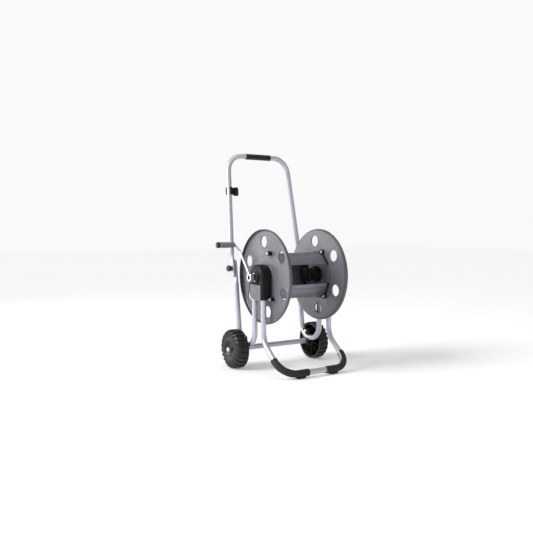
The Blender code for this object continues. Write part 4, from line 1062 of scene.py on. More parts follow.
def clamp_cover():
    """The right clamp cover: toothed edges, a pointed foot and upright ribs."""
    low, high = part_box("right_clamp_cover")
    middle = (low.y + high.y) / 2 - REEL.y
    half = (high.y - low.y) / 2
    top, foot = high.z, low.z + 0.008
    teeth = 8
    tall = (top - foot) / teeth
    edge = []
    for k in range(teeth):
        z = foot + k * tall
        edge += [(half - 0.0022, z + 0.02 * tall), (half - 0.0004, z + 0.20 * tall),
                 (half, z + 0.30 * tall), (half - 0.0022, z + 0.62 * tall),
                 (half - 0.0022, z + 0.9 * tall)]
    outline = [(middle + y, z) for y, z in edge] + [(middle - y, z) for y, z in edge[::-1]]
    outline += [(middle - half * 0.45, foot - 0.001), (middle, low.z),
                (middle + half * 0.45, foot - 0.001)]
    plate = slab("right_cover_plate", outline, CASING_OUT + GAP, COVER_OUT - 0.0013)
    parts = [bevel(plate, 0.0004, 2, 25)]
    for k in range(7):
        y = middle + (k - 3) * 0.0092
        bottom = foot + 0.004 - 0.004 * (3 - abs(k - 3)) / 3
        rib = block("cover_rib", at(COVER_OUT - 0.002, y - 0.0026, bottom),
                    at(COVER_OUT, y + 0.0026, top - 0.0035))
        parts.append(bevel(rib, 0.0009, 3))
    return joined("right_ribbed_cover", parts)


class AddBearings(bpy.types.Operator):
    """Mould the bearing casings with their clamp covers, horseshoe clips and bushes"""

    bl_idname = "hose_cart.add_bearings"
    bl_label = "Bearings"

    def execute(self, context):
        finish_both(casing_body(), "black", "frame", ["right_bearing_casing"])
        finish_both(clamp_cover(), "cover", "frame", ["right_clamp_cover"], 40)
        outer, inner = 0.0179, 0.0128
        foot, side = -0.0265, 0.0161
        turn = atan2(-sqrt(outer * outer - side * side), side)
        outline = arc(0, 0, outer, turn, pi - turn, 40)
        outline += [(-side, foot + 0.003), (-side + 0.001, foot), (-inner - 0.0005, foot)]
        outline += arc(0, 0, inner, pi, 0, 32)
        outline += [(inner + 0.0005, foot), (side - 0.001, foot), (side, foot + 0.003)]
        clip = slab("right_horseshoe_clip", [(y, z + AXIS_HEIGHT) for y, z in outline],
                    CASING_OUT + GAP, high_x("right_bush_clip"))
        finish_both(bevel(clip, 0.0005, 2, 40), "gloss", "frame", ["right_bush_clip"])
        for side in ("left", "right"):
            # The bushes get the near-black bore finish: painted shade inside the casing's bore.
            repaint(f"{side}_bearing_bush", "bore")
            repaint(f"{side}_thrust_washer", "steel")
        return {"FINISHED"}


# ---- drum --------------------------------------------------------------------------------


WEB_WALL = 0.003               # of a flange
DISC_BACK = 0.010              # from the lip's edge in to the raised middle disc
BOSS_LENGTH = 0.0195


def eyelet(y, z):
    """The soft raised rim round a hand hole, on both faces of the right flange."""
    r, inner, outer = sizes().hand_hole, FLANGE_IN, FLANGE_IN + WEB_WALL
    profile = [(inner - 0.0010, r + 0.0012), (inner - 0.0004, r + 0.0003), (inner + 0.0006, r),
               (outer - 0.0006, r), (outer + 0.0006, r + 0.0003), (outer + 0.0013, r + 0.0013),
               (outer + 0.0012, r + 0.0026), (outer + 0.0005, r + 0.0042),
               (outer - 0.0004, r + 0.0056), (inner + 0.0004, r + 0.0056),
               (inner - 0.0004, r + 0.0044), (inner - 0.0009, r + 0.0028)]
    return turned("hole_eyelet", profile, y, z, 48)


def flange_disc():
    """The right flange: flat web, rolled lip, raised middle disc, holes with soft rims."""
    size = sizes()
    rim, inner = FLANGE_RADIUS, FLANGE_IN
    web, disc = inner + WEB_WALL, LIP_OUT - DISC_BACK
    profile = [
        (inner, 0.0123), (inner, 0.070), (inner + 0.0004, 0.0708), (inner + 0.0004, 0.0716),
        (inner, 0.0724), (inner, rim - 0.010), (inner + 0.0005, rim - 0.006),
        (inner + 0.0018, rim - 0.0025),
        (inner + 0.0042, rim - 0.0006), (inner + 0.0065, rim), (LIP_OUT - 0.0012, rim),
        (LIP_OUT - 0.0003, rim - 0.0004), (LIP_OUT, rim - 0.0013), (LIP_OUT - 0.0003, rim - 0.0024),
        (LIP_OUT - 0.0012, rim - 0.0029), (web + 0.0052, rim - 0.0031),
        (web + 0.0022, rim - 0.0042),
        (web + 0.0006, rim - 0.0070), (web, rim - 0.0105), (web, rim - 0.0220),
        (web + 0.0007, rim - 0.0230), (web + 0.0007, rim - 0.0245), (web, rim - 0.0255),
        (web, 0.0895), (web + 0.0004, 0.0882),
        (disc - 0.0006, 0.0872), (disc - 0.0001, 0.0864), (disc, 0.0850), (disc, 0.0575),
        (disc - 0.0008, 0.0565), (disc - 0.0008, 0.0545), (disc, 0.0535), (disc, 0.0123)]
    body = turned("right_flange_web", profile, 0, AXIS_HEIGHT, 128)
    tools, rims = [], []
    for k in range(HAND_HOLES):
        y, z = place_in_drum(size.hole_pitch, 2 * pi * (k + 0.5) / HAND_HOLES + REEL_PHASE)
        tools.append(rod("hand_hole_tool", at(inner - 0.01, y, z), at(web + 0.012, y, z),
                         size.hand_hole + 0.0025, 48))
        rims.append(eyelet(y, z))
    for k in range(BEAMS):
        y, z = place_in_drum(size.beam_pitch, beam_angle(k))
        tools.append(rod("boss_hole_tool", at(inner - 0.01, y, z), at(web + 0.012, y, z),
                         0.0078, 32))
        rims.append(turned("boss_ring", [
            (web - 0.0004, 0.0082), (web - 0.0004, 0.0118), (web + 0.0012, 0.0112),
            (web + 0.0018, 0.0100), (web + 0.0018, 0.0082)], y, z, 36))
    cut(body, joined("flange_tools", tools))
    return joined("right_flange_disc", [body] + rims)


def hub_moulding():
    """The eight-sided raised moulding round the hub on the right flange's inner face."""
    corner, hole = 0.0935, 0.0376
    corners = [2 * pi * (k + 0.5) / 8 for k in range(8)]
    outline = [(corner * cos(a), AXIS_HEIGHT + corner * sin(a)) for a in corners]
    plate = slab("hub_moulding_plate", outline, FLANGE_IN + 0.0004, FLANGE_IN - 0.0020)
    bevel(plate, 0.0016, 3)
    cut(plate, rod("hub_moulding_hole", at(FLANGE_IN - 0.01, 0, AXIS_HEIGHT),
                   at(FLANGE_IN + 0.01, 0, AXIS_HEIGHT), hole, 64))
    rib = block("hub_rib", at(FLANGE_IN - 0.0030, hole + 0.004, AXIS_HEIGHT - 0.0009),
                at(FLANGE_IN - 0.0010, corner - 0.010, AXIS_HEIGHT + 0.0009))
    ribs = turned_copies(bevel(rib, 0.0005, 2), REEL, corners)
    return joined("right_hub_moulding", [plate] + ribs)


class AddFlanges(bpy.types.Operator):
    """Turn the drum's two flanges and open their hand holes"""

    bl_idname = "hose_cart.add_flanges"
    bl_label = "Flanges"

    def execute(self, context):
        finish_both(flange_disc(), "flange", "reel", ["right_flange"], 28)
        finish_both(hub_moulding(), "flange", "reel", ())
        return {"FINISHED"}


def beam_section(angle, grow=0.0, grooves=True):
    """A beam's chevron outline in (y, z), with grooves along its outer side."""
    half, flat = 0.053 + grow, 0.016
    side_groove, top_groove = flat + 0.0195, 0.0055
    ridge = BEAM_RIDGE + grow
    wall, fall = 0.0028 + 2 * grow, 0.026 / 0.053
    radial = Vector((-cos(angle), sin(angle)))
    tangent = Vector((sin(angle), cos(angle)))

    def height(t):
        over = abs(t) - flat
        return ridge - fall * (over if over > 0.004 else max(0.0, over + 0.004) ** 2 / 0.016)

    marks = [-half, -side_groove, -flat - 0.008, -flat - 0.004, -flat, -flat + 0.004,
             -top_groove, 0.0]
    marks += [-t for t in marks[-2::-1]]
    upper = []
    for t in marks:
        if grooves and abs(t) in (side_groove, top_groove):
            upper += [(t - 0.0011, height(t - 0.0011)), (t - 0.0006, height(t) - 0.0011),
                      (t + 0.0006, height(t) - 0.0011), (t + 0.0011, height(t + 0.0011))]
        else:
            upper.append((t, height(t)))
    if grooves:
        upper[0] = (-half, height(-half) - 0.0003)
        upper.insert(1, (-half + 0.0008, height(-half) + 0.0004))
        upper[-1] = (half, height(half) - 0.0003)
        upper.insert(-1, (half - 0.0008, height(half) + 0.0004))
    lower = [(t * (1 - wall / half * 0.9), height(t) - wall) for t in marks[::-1]]
    origin = Vector((0, AXIS_HEIGHT))
    return [tuple(radial * r + tangent * t + origin) for t, r in upper + lower]


class AddDrumBeams(bpy.types.Operator):
    """Extrude the drum's grooved beams and mould the gaskets and bosses at their ends"""

    bl_idname = "hose_cart.add_drum_beams"
    bl_label = "Drum beams"

    def execute(self, context):
        size = sizes()
        end = high_x("drum_beam_1")
        boss_out = FLANGE_IN + WEB_WALL + BOSS_LENGTH
        for k in range(BEAMS):
            angle = beam_angle(k)
            y, z = place_in_drum(size.beam_pitch, angle)
            beam = slab(f"grooved_beam_{k + 1}", beam_section(angle), -end, end)
            finish(beam, "beam", "reel", [f"drum_beam_{k + 1}"], 20)
            inner, outer = end + GAP, FLANGE_IN - GAP
            gasket = slab("beam_gasket", beam_section(angle, 0.003, False), inner, outer)
            bevel(gasket, 0.0010, 2, 40)
            ear = turned("tie_ear", [
                (inner + 0.0016, 0), (inner + 0.0016, 0.0062), (inner + 0.0002, 0.0068),
                (inner + 0.0002, 0.0100), (inner + 0.0010, 0.0110), (outer - 0.0004, 0.0114),
                (outer - 0.0004, 0)], y, z, 40)
            foot = Vector(place_in_drum(BEAM_RIDGE - 0.001, angle))
            along, radial = Vector((sin(angle), cos(angle))), Vector((-cos(angle), sin(angle)))
            gusset = [foot + along * t + radial * h for t, h in (
                (-0.0215, 0), (-0.0150, 0.0030), (-0.0105, 0.0095), (0.0105, 0.0095),
                (0.0150, 0.0030), (0.0215, 0))]
            gusset = slab("tie_gusset", [tuple(p) for p in gusset], inner + 0.0006, outer - 0.0006)
            bevel(gusset, 0.0008, 2, 40)
            boss = turned("tie_boss", [
                (outer - 0.002, 0), (outer - 0.002, 0.0074), (boss_out - 0.0012, 0.0070),
                (boss_out - 0.0003, 0.0066), (boss_out, 0.0058), (boss_out, 0.0034),
                (boss_out - 0.004, 0.0034), (boss_out - 0.004, 0)], y, z, 36)
            fin = block("boss_fin", at(FLANGE_IN + 0.0034, y + 0.0050, z - 0.0006),
                        at(boss_out - 0.004, y + 0.0093, z + 0.0006))
            fins = turned_copies(fin, at(0, y, z), [f * pi / 2 + angle for f in range(4)])
            pin = turned(f"right_gasket_pin_{k + 1}", [
                (inner + 0.0020, 0), (inner + 0.0020, 0.0052), (inner - 0.0004, 0.0052),
                (inner - 0.0012, 0.0046), (inner - 0.0018, 0.0034), (inner - 0.0020, 0)], y, z, 32)
            right = joined(f"right_gasket_{k + 1}", [gasket, ear, gusset, boss] + fins)
            finish_both(right, "black", "reel", [f"right_beam_socket_{k + 1}"])
            finish_both(pin, "steel", "reel", ())
            self.screw(k + 1, y, z, boss_out)
        return {"FINISHED"}

    def screw(self, number, y, z, boss_out):
        """A bright pan-head screw with a crossed slot, on each side."""
        face, top = boss_out + GAP, boss_out + GAP + 0.0035
        screw = turned(f"right_tie_screw_head_{number}", [
            (FLANGE_IN - 0.003, 0), (FLANGE_IN - 0.003, 0.0029), (face, 0.0029), (face, 0.0060),
            (face + 0.0012, 0.0060), (top - 0.0006, 0.0048), (top, 0.0030), (top, 0)], y, z, 36)
        slots = [block("slot", at(top - 0.0014, y - long, z - high),
                       at(top + 0.001, y + long, z + high))
                 for long, high in ((0.0032, 0.0005), (0.0005, 0.0032))]
        cut(slots[0], slots[1], "UNION")
        cut(screw, slots[0])
        finish_both(screw, "steel", "reel", [f"right_tie_screw_{number}"])


# ---- waterway ----------------------------------------------------------------------------


class AddWaterHub(bpy.types.Operator):
    """Mould the hollow hub, its outlet elbow and the hose connector inside the drum"""

    bl_idname = "hose_cart.add_water_hub"
    bl_label = "Water hub"

    def execute(self, context):
        inner, end = low_x("water_spindle"), high_x("water_spindle")
        face = FLANGE_IN - GAP
        hub = turned("water_hub_body", [
            (inner + 0.0016, 0), (inner + 0.0016, 0.0250), (inner + 0.0008, 0.0258),
            (inner, 0.0268), (inner, 0.0286), (inner + 0.0008, 0.0300),
            (inner + 0.0022, 0.0304), (face - 0.009, 0.0304),
            (face - 0.0084, 0.0310), (face - 0.0056, 0.0310), (face - 0.005, 0.0362),
            (face - 0.0042, 0.0370), (face, 0.0370), (face, 0.0120), (end - 0.0006, 0.0120),
            (end, 0.0114), (end, 0)], 0, AXIS_HEIGHT, 72)
        parts = [hub]
        knurl = block("hub_knurl", at(inner + 0.0022, 0.0296, AXIS_HEIGHT - 0.0010),
                      at(face - 0.0092, 0.0310, AXIS_HEIGHT + 0.0010))
        parts.append(ring_of(bevel(knurl, 0.0004, 1), "hub_knurls", 28, at(0, 0, AXIS_HEIGHT)))
        rib = block("hub_cross_rib", at(inner + 0.0004, -0.0245, AXIS_HEIGHT - 0.0011),
                    at(inner + 0.0022, 0.0245, AXIS_HEIGHT + 0.0011))
        parts += turned_copies(bevel(rib, 0.0004, 2), REEL,
                               [k * pi / 3 + REEL_PHASE for k in range(3)])
        parts.append(turned("hub_boss", [
            (inner + 0.0020, 0), (inner + 0.0020, 0.0085), (inner - 0.0002, 0.0080),
            (inner - 0.0006, 0.0070), (inner - 0.0006, 0.0045), (inner + 0.0006, 0.0040),
            (inner + 0.0006, 0)], 0, AXIS_HEIGHT, 36))
        tab = block("hub_tab", at(face - 0.016, 0.0300, AXIS_HEIGHT - 0.0045),
                    at(face - 0.0052, 0.0345, AXIS_HEIGHT + 0.0045))
        parts += turned_copies(bevel(tab, 0.0008, 2), REEL, (pi / 2, -pi / 2))
        finish(joined("water_hub", parts), "gloss", "reel", ["water_spindle"])
        self.outlet(inner, face)
        repaint("crank_spindle", "black")
        return {"FINISHED"}

    def outlet(self, inner, face):
        """The box elbow beside the hub and the ribbed connector that takes the hose."""
        turn = turn_about("X", REEL, -REEL_PHASE)
        middle, near, far, half, ribs = inner + 0.012, 0.0373, 0.080, 0.028, 4
        body = block("outlet_box", at(middle - 0.012, near, AXIS_HEIGHT - half),
                     at(face - 0.0005, far, AXIS_HEIGHT + half))
        bevel(body, 0.004, 4)
        parts = [body]
        for k in range(ribs):
            z = AXIS_HEIGHT + (k - (ribs - 1) / 2) * 0.012
            rib = block("outlet_rib", at(middle - 0.0128, near + 0.004, z - 0.001),
                        at(middle - 0.0110, far - 0.004, z + 0.001))
            parts.append(bevel(rib, 0.0004, 2))
        finish(placed(joined("outlet_body", parts), turn), "black", "reel", ["outlet_elbow"])
        start = AXIS_HEIGHT + half + GAP
        profile = [(radius, start + rise) for radius, rise in (
            (0.0040, 0), (0.0085, 0), (0.0085, 0.006), (0.0074, 0.0066), (0.0074, 0.009),
            (0.0085, 0.0096), (0.0085, 0.012), (0.0070, 0.0128), (0.0070, 0.016),
            (0.0080, 0.0166), (0.0080, 0.018), (0.0066, 0.0188), (0.0066, 0.0246),
            (0.0058, 0.026), (0.0040, 0.026))]
        connector = turned_upright("outlet_connector", profile, at(middle, 0.060, 0))
        finish(placed(connector, turn), "gloss", "reel", ["outlet_adapter"])


class AddInlet(bpy.types.Operator):
    """Mould the swivelling inlet elbow and its tap connector"""

    bl_idname = "hose_cart.add_inlet"
    bl_label = "Water inlet"

    def execute(self, context):
        start, end = low_x("inlet_elbow"), high_x("inlet_elbow")
        low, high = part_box("inlet_elbow")
        radius = high.z - AXIS_HEIGHT
        body = turned("inlet_body", [
            (start, 0), (start, radius - 0.0010), (start + 0.0010, radius), (start + 0.005, radius),
            (start + 0.0056, radius - 0.0010), (start + 0.0074, radius - 0.0010),
            (start + 0.008, radius), (end - 0.0045, radius), (end - 0.0025, radius - 0.0008),
            (end - 0.0008, radius - 0.0028), (end, radius - 0.0055), (end, 0.0070),
            (end - 0.0010, 0.0060), (end - 0.0010, 0)], 0, AXIS_HEIGHT, 64)
        cut(body, rod("shaft_hole", at(start - 0.01, 0, AXIS_HEIGHT),
                      at(start + 0.0185, 0, AXIS_HEIGHT), 0.0125, 48))
        centre_x, foot, top = (start + end) / 2, low.z, AXIS_HEIGHT - 0.0135
        centre = at(centre_x, 0, 0)
        profile = [(0.0055, top), (0.0100, top), (0.0100, foot + 0.012), (0.0106, foot + 0.0112),
                   (0.0106, foot + 0.0008), (0.0098, foot), (0.0055, foot)]
        neck = turned_upright("inlet_neck", profile, centre)
        grip = block("neck_rib", at(centre_x + 0.0102, -0.0009, foot + 0.0014),
                     at(centre_x + 0.0113, 0.0009, foot + 0.0106))
        grips = ring_of(bevel(grip, 0.0003, 1), "neck_ribs", 18, centre, "Z")
        obj = joined("inlet_swivel_elbow", [body, neck, grips])
        finish(obj, "gloss", "inlet", ["inlet_elbow"])
        self.connector(centre)
        return {"FINISHED"}

    def connector(self, centre):
        """A hexagon with a grooved stem that the tap end of a hose pushes on."""
        top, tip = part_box("inlet_adapter")[1].z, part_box("inlet_adapter")[0].z
        profile = [(0.0045, top), (0.0092, top), (0.0092, top - 0.0105), (0.0075, top - 0.0125),
                   (0.0075, top - 0.0195), (0.0094, top - 0.0207), (0.0095, top - 0.0230),
                   (0.0076, top - 0.0245), (0.0074, tip + 0.0016), (0.0064, tip), (0.0045, tip)]
        stem = turned_upright("inlet_connector", profile, centre)
        rest()
        bpy.ops.mesh.primitive_cylinder_add(vertices=6, radius=0.0114, depth=0.0100,
                                            location=centre + Vector((0, 0, top - 0.0053)))
        hexagon = bevel(fix_place(), 0.0008, 2, 30)
        cut(hexagon, rod("hexagon_bore", centre + Vector((0, 0, top + 0.01)),
                         centre + Vector((0, 0, top - 0.03)), 0.0088, 32))
        obj = joined("inlet_tap_connector", [stem, hexagon])
        finish(obj, "cover", "inlet", ["inlet_adapter"])


# ---- crank -------------------------------------------------------------------------------


CRANK_ROD = 0.0045             # radius
CRANK_ANGLE = atan2(CRANK_AXIS.y - REEL.y, CRANK_AXIS.z - REEL.z)
CRANK_THROW = sqrt((CRANK_AXIS.y - REEL.y) ** 2 + (CRANK_AXIS.z - REEL.z) ** 2)


def crank_point(x, radius):
    return at(x, radius * sin(CRANK_ANGLE), AXIS_HEIGHT + radius * cos(CRANK_ANGLE))


class AddCrank(bpy.types.Operator):
    """Bend the crank rod and turn its hub, grip and end cap"""

    bl_idname = "hose_cart.add_crank"
    bl_label = "Crank"

    def execute(self, context):
        hub_in, hub_out = -high_x("crank_hub"), -low_x("crank_hub")
        arm_x = hub_out - 0.008
        hub = turned("crank_boss", [(-x, r) for x, r in [
            (hub_in, 0.0093), (hub_in, 0.0130), (hub_in + 0.0006, 0.0135),
            (hub_in + 0.0080, 0.0135),
            (hub_in + 0.0088, 0.0145), (hub_in + 0.0096, 0.0160), (hub_in + 0.0106, 0.0165),
            (hub_out - 0.0070, 0.0165), (hub_out - 0.0062, 0.0160), (hub_out - 0.0052, 0.0160),
            (hub_out - 0.0046, 0.0165), (hub_out - 0.0014, 0.0165), (hub_out - 0.0006, 0.0160),
            (hub_out - 0.0003, 0.0150), (hub_out - 0.0003, 0.0093)]], 0, AXIS_HEIGHT, 64)
        cut(hub, rod("rod_hole", crank_point(-arm_x, 0.006), crank_point(-arm_x, 0.03),
                     CRANK_ROD + GAP, 24))
        finish(hub, "grip", "reel", ["crank_hub"])
        end_ring = turned("crank_end_ring", [(-x, r) for x, r in [
            (hub_out - 0.0026, 0.0092), (hub_out - 0.0003, 0.0092), (hub_out, 0.0095),
            (hub_out, 0.0150), (hub_out - 0.0003, 0.0154), (hub_out - 0.0026, 0.0154)]],
            0, AXIS_HEIGHT, 64)
        finish(end_ring, "steel", "reel", ())
        collar = turned("crank_collar", [(-x, r) for x, r in [
            (hub_in + 0.0014, 0.0134), (hub_in + 0.0014, 0.0146), (hub_in + 0.0020, 0.0150),
            (hub_in + 0.0064, 0.0150), (hub_in + 0.0070, 0.0146), (hub_in + 0.0070, 0.0134)]],
            0, AXIS_HEIGHT, 64)
        finish(collar, "gloss", "reel", ())
        # The crank screw gets the near-black bore finish: painted shade in the hub's recess.
        repaint("crank_screw", "bore")
        grip_in, grip_out = -high_x("crank_grip"), -low_x("crank_grip")
        corners = [crank_point(-arm_x, 0.0100), crank_point(-arm_x, CRANK_THROW * 0.80),
                   crank_point(-arm_x - 0.010, CRANK_THROW),
                   crank_point(-grip_out + 0.003, CRANK_THROW)]
        arm = bent_tube("crank_rod", corners, [0.012, 0.007], CRANK_ROD, 28, 10)
        finish(arm, "crank", "reel", ["crank_arm"])
        self.grip(grip_in, grip_out)
        return {"FINISHED"}

    def grip(self, start, end):
        """A hollow ribbed grip that turns on the rod, with a black push-on cap."""
        y, z = CRANK_AXIS.y - REEL.y, CRANK_AXIS.z
        count, bore = sizes().grip_ribs, CRANK_ROD + 0.0004
        step = (end - start - 0.012) / count
        profile = [(start, bore), (start, 0.0098), (start + 0.0010, 0.0110),
                   (start + 0.0030, 0.0116), (start + 0.0055, 0.0116)]
        for k in range(count):
            x = start + 0.006 + step * k
            profile += [(x + 0.10 * step, 0.0112), (x + 0.28 * step, 0.0112),
                        (x + 0.42 * step, 0.0120), (x + 0.86 * step, 0.0120),
                        (x + step, 0.0112)]
        profile += [(end - 0.0055, 0.0117), (end - 0.0010, 0.0117), (end, 0.0110), (end, bore)]
        grip = turned("crank_ribbed_grip", [(-x, r) for x, r in profile], y, z, 56)
        finish(grip, "grip", "crank_handgrip", ["crank_grip"])
        start, end = -high_x("grip_end_cap"), -low_x("grip_end_cap")
        cap = turned("grip_cap", [(-x, r) for x, r in [
            (start, 0), (start, 0.0116), (start + 0.0006, 0.0120), (start + 0.0046, 0.0120),
            (start + 0.0052, 0.0115), (start + 0.0062, 0.0115), (start + 0.0068, 0.0119),
            (end - 0.0022, 0.0117), (end - 0.0009, 0.0108), (end - 0.0002, 0.0092), (end, 0.0075),
            (end - 0.0008, 0.0066), (end - 0.0008, 0)]], y, z, 56)
        finish(cap, "gloss", "crank_handgrip", ["grip_end_cap"])


# ---- wheels ------------------------------------------------------------------------------


def wheel_lug():
    """One tread lug: a bar that wraps from the tread over the shoulder on to the sidewall."""
    a, b, top = WHEEL_IN, WHEEL_OUT, AXLE_HEIGHT
    outline = [(a + 0.0050, top - 0.0062), (a + 0.0066, top - 0.0008), (a + 0.010, top),
               (b - 0.0170, top), (b - 0.0110, top - 0.0014), (b - 0.0058, top - 0.0050),
               (b - 0.0024, top - 0.0110), (b - 0.0006, top - 0.0190), (b - 0.0002, top - 0.0270),
               (b - 0.0014, top - 0.0330), (b - 0.0050, top - 0.0330), (b - 0.0060, top - 0.0200),
               (b - 0.0100, top - 0.0120), (b - 0.018, top - 0.0065)]
    half = 0.0072
    lug = extruded("tread_lug", [at(x, AXLE_Y - half, AXLE_HEIGHT + r) for x, r in outline],
                   (0, 2 * half, 0))
    bevel(lug, 0.0016, 3, 50)
    for vert in lug.data.vertices:
        reach = (vert.co.x - REEL.x - a) / (b - a)
        drop = AXLE_HEIGHT + top - vert.co.z
        narrow = 1 - 0.62 * min(1.0, drop / 0.033)
        sweep_back = 0.0070 * (reach - 0.5) + 0.30 * max(0.0, drop - 0.004)
        vert.co.y = AXLE.y + (vert.co.y - AXLE.y) * narrow + sweep_back
        rise, side = vert.co.z - AXLE_HEIGHT, vert.co.y - AXLE.y
        vert.co.z = AXLE_HEIGHT + sqrt(max(0.0, rise * rise - side * side))
    return lug


def wheel_body():
    """The right wheel: full tyre and dished hub outside, open and ribbed inside."""
    size = sizes()
    a, b, top = WHEEL_IN, WHEEL_OUT, AXLE_HEIGHT - 0.0042
    bore = 0.0054
    profile = [
        (a, top + 0.0006), (a + 0.0008, top + 0.0024), (a + 0.0026, top + 0.0032),
        (a + 0.0050, top + 0.0026), (a + 0.0068, top), (b - 0.0170, top),
        (b - 0.0115, top - 0.0018),
        (b - 0.0070, top - 0.0055), (b - 0.0040, top - 0.0110), (b - 0.0022, top - 0.0190),
        (b - 0.0016, top - 0.0260), (b - 0.0010, 0.0470), (b - 0.0002, 0.0452), (b, 0.0432),
        (b - 0.0004, 0.0405), (b - 0.0018, 0.0370), (b - 0.0050, 0.0312), (b - 0.0082, 0.0272),
        (b - 0.0102, 0.0250), (b - 0.0113, 0.0228), (b - 0.0117, 0.0205), (b - 0.0120, 0.0150),
        (b - 0.0120, bore), (a + 0.0020, bore), (a + 0.0020, 0.0118), (a + 0.0060, 0.0124),
        (a + 0.0060, 0.0185), (a + 0.0020, 0.0190), (a + 0.0020, 0.0206), (a + 0.0028, 0.0212),
        (b - 0.0160, 0.0218), (b - 0.0150, 0.0280), (b - 0.0070, 0.0370), (b - 0.0045, 0.0440),
        (b - 0.0056, 0.0560), (b - 0.0085, top - 0.0130), (b - 0.0160, top - 0.0085),
        (a + 0.0010, top - 0.0070), (a, top - 0.0060)]
    body = turned("right_wheel_shell", profile, AXLE_Y, AXLE_HEIGHT, 110)
    rib_wall = 0.0022
    rib = extruded("wheel_rib", [at(x, AXLE_Y - rib_wall / 2, AXLE_HEIGHT + r) for x, r in (
        (a + 0.0035, 0.0205), (b - 0.0152, 0.0210), (b - 0.0142, 0.0285), (b - 0.0062, 0.0375),
        (b - 0.0037, 0.0445), (b - 0.0046, 0.0560), (b - 0.0077, top - 0.0120),
        (b - 0.0150, top - 0.0078), (a + 0.0160, top - 0.0063), (a + 0.0080, 0.0440))],
        (0, rib_wall, 0))
    ribs = ring_of(bevel(rib, 0.0004, 1), "wheel_ribs", size.ribs, AXLE)
    lugs = ring_of(wheel_lug(), "wheel_lugs", size.lugs, AXLE)
    return joined("right_lugged_wheel", [body, ribs, lugs])


class AddWheels(bpy.types.Operator):
    """Mould the two lugged wheels and press the caps on to the axle's ends"""

    bl_idname = "hose_cart.add_wheels"
    bl_label = "Wheels"

    def execute(self, context):
        finish_both(wheel_body(), "wheel", "right_road_wheel", ["right_wheel"], 38)
        start, end = low_x("right_axle_cap"), high_x("right_axle_cap")
        cap = turned("right_domed_cap", [
            (start, 0.0053), (start, 0.0096), (start + 0.0004, 0.0100), (start + 0.0100, 0.0100),
            (end - 0.0058, 0.0096), (end - 0.0034, 0.0084), (end - 0.0014, 0.0062),
            (end - 0.0003, 0.0034), (end, 0.0), (end - 0.002, 0.0), (end - 0.0026, 0.0053)],
            AXLE_Y, AXLE_HEIGHT, 48)
        finish_both(cap, "steel", "frame", ["right_axle_cap"])
        return {"FINISHED"}


# ---- stage -------------------------------------------------------------------------------


FLOOR_SIZE = 24
MIDDLE_HEIGHT = 0.42                      # that the lights look at
SKY_LIGHT, SKY_SEEN = 0.42, 0.95          # strengths of the backdrop as it lights and as it shows
SUN_PLACE, SUN_POWER, SUN_SPREAD = (-2.3, 0.5, 1.8), 3.4, radians(28)
AREA_LIGHTS = (                           # name, place, size and power
    ("sheen_light", (-1.6, 2.3, 0.75), (1.5, 1.2), 14),
    ("top_light", (0.0, -0.3, 2.6), (2.0, 2.0), 14),
    ("front_light", (-0.6, -2.8, 0.9), (1.2, 1.2), 6),
)
CAMERA_PLACE, CAMERA_LENS = (-1.4914, -2.1786, AXIS_HEIGHT + 0.2029), 43.57
CAMERA_RIGHT, CAMERA_UP = Vector((0.8469, -0.5317, 0.0)), Vector((0.0334, 0.0532, 0.9980))


def add_light(kind, name, place, power):
    """A light that looks at the middle of the cart."""
    place = at(*place)
    rest()
    bpy.ops.object.light_add(type=kind, location=place)
    lamp = bpy.context.object
    lamp.name = name
    lamp.data.energy = power
    lamp.rotation_euler = (at(0, 0, MIDDLE_HEIGHT) - place).to_track_quat("-Z", "Y").to_euler()
    return lamp.data


def light_sky(context):
    """A white backdrop that shows brighter than it lights."""
    world = context.scene.world or bpy.data.worlds.new("studio")
    context.scene.world = world
    world.use_nodes = True
    nodes, links = world.node_tree.nodes, world.node_tree.links
    lit, shown = nodes["Background"], nodes.new("ShaderNodeBackground")
    for background, strength in ((lit, SKY_LIGHT), (shown, SKY_SEEN)):
        background.inputs["Color"].default_value = (1, 1, 1, 1)
        background.inputs["Strength"].default_value = strength
    path, blend = nodes.new("ShaderNodeLightPath"), nodes.new("ShaderNodeMixShader")
    links.new(path.outputs["Is Camera Ray"], blend.inputs["Fac"])
    links.new(lit.outputs[0], blend.inputs[1])
    links.new(shown.outputs[0], blend.inputs[2])
    links.new(blend.outputs[0], nodes["World Output"].inputs["Surface"])


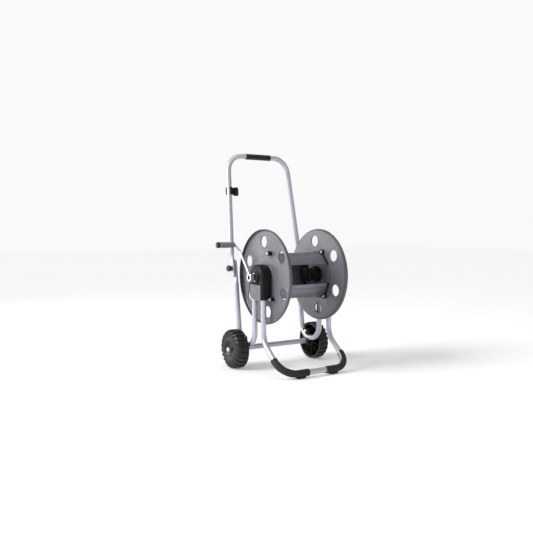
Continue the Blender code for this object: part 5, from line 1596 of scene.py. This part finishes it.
class AddStage(bpy.types.Operator):
    """Lay the pale floor and backdrop and set the lights and the camera"""

    bl_idname = "hose_cart.add_stage"
    bl_label = "Stage"

    def execute(self, context):
        rest()
        bpy.ops.mesh.primitive_plane_add(size=FLOOR_SIZE, location=(0, 0, 0))
        floor = fix_place()
        floor.name = "studio_floor"
        floor.data.materials.append(material("floor"))
        light_sky(context)
        context.scene.view_settings.view_transform = "Standard"
        add_light("SUN", "key_light", SUN_PLACE, SUN_POWER).angle = SUN_SPREAD
        for name, place, size, power in AREA_LIGHTS:
            lamp = add_light("AREA", name, place, power)
            lamp.shape = "RECTANGLE"
            lamp.size, lamp.size_y = size
        rest()
        bpy.ops.object.camera_add()
        camera = context.object
        camera.name = "studio_camera"
        back = CAMERA_RIGHT.cross(CAMERA_UP)
        turn = Matrix((CAMERA_RIGHT, CAMERA_UP, back)).transposed().to_4x4()
        camera.matrix_world = Matrix.Translation(at(*CAMERA_PLACE)) @ turn
        camera.data.sensor_width = 36
        camera.data.lens = CAMERA_LENS
        context.scene.camera = camera
        return {"FINISHED"}


# ---- panel and running -------------------------------------------------------------------


STEPS = (AddFrameTubes, AddPushHandle, AddPivotKnobs, AddFootSleeves, AddAxleBrackets, AddBearings,
         AddFlanges, AddDrumBeams, AddWaterHub, AddInlet, AddCrank, AddWheels, AddStage)


class HoseCartPanel(bpy.types.Panel):
    """Sidebar panel with the sizes, the colours and a button for each group of pieces"""

    bl_idname = "VIEW3D_PT_hose_cart"
    bl_label = "Hose Reel Cart"
    bl_space_type = "VIEW_3D"
    bl_region_type = "UI"
    bl_category = "Hose Cart"

    def draw(self, context):
        for group in (context.scene.hose_cart_sizes, context.scene.hose_cart_colours):
            column = self.layout.column()
            for name in group.__annotations__:
                column.prop(group, name)
        for step in STEPS:
            self.layout.operator(step.bl_idname)


CLASSES = (CartSizes, CartColours, *STEPS, HoseCartPanel)


def register():
    for item in CLASSES:
        bpy.utils.register_class(item)
    bpy.types.Scene.hose_cart_sizes = bpy.props.PointerProperty(type=CartSizes)
    bpy.types.Scene.hose_cart_colours = bpy.props.PointerProperty(type=CartColours)


def unregister():
    del bpy.types.Scene.hose_cart_colours
    del bpy.types.Scene.hose_cart_sizes
    for item in reversed(CLASSES):
        bpy.utils.unregister_class(item)


def main():
    register()
    for step in STEPS:
        group, action = step.bl_idname.split(".")
        getattr(getattr(bpy.ops, group), action)()
    rest()


if __name__ == "__main__":
    main()
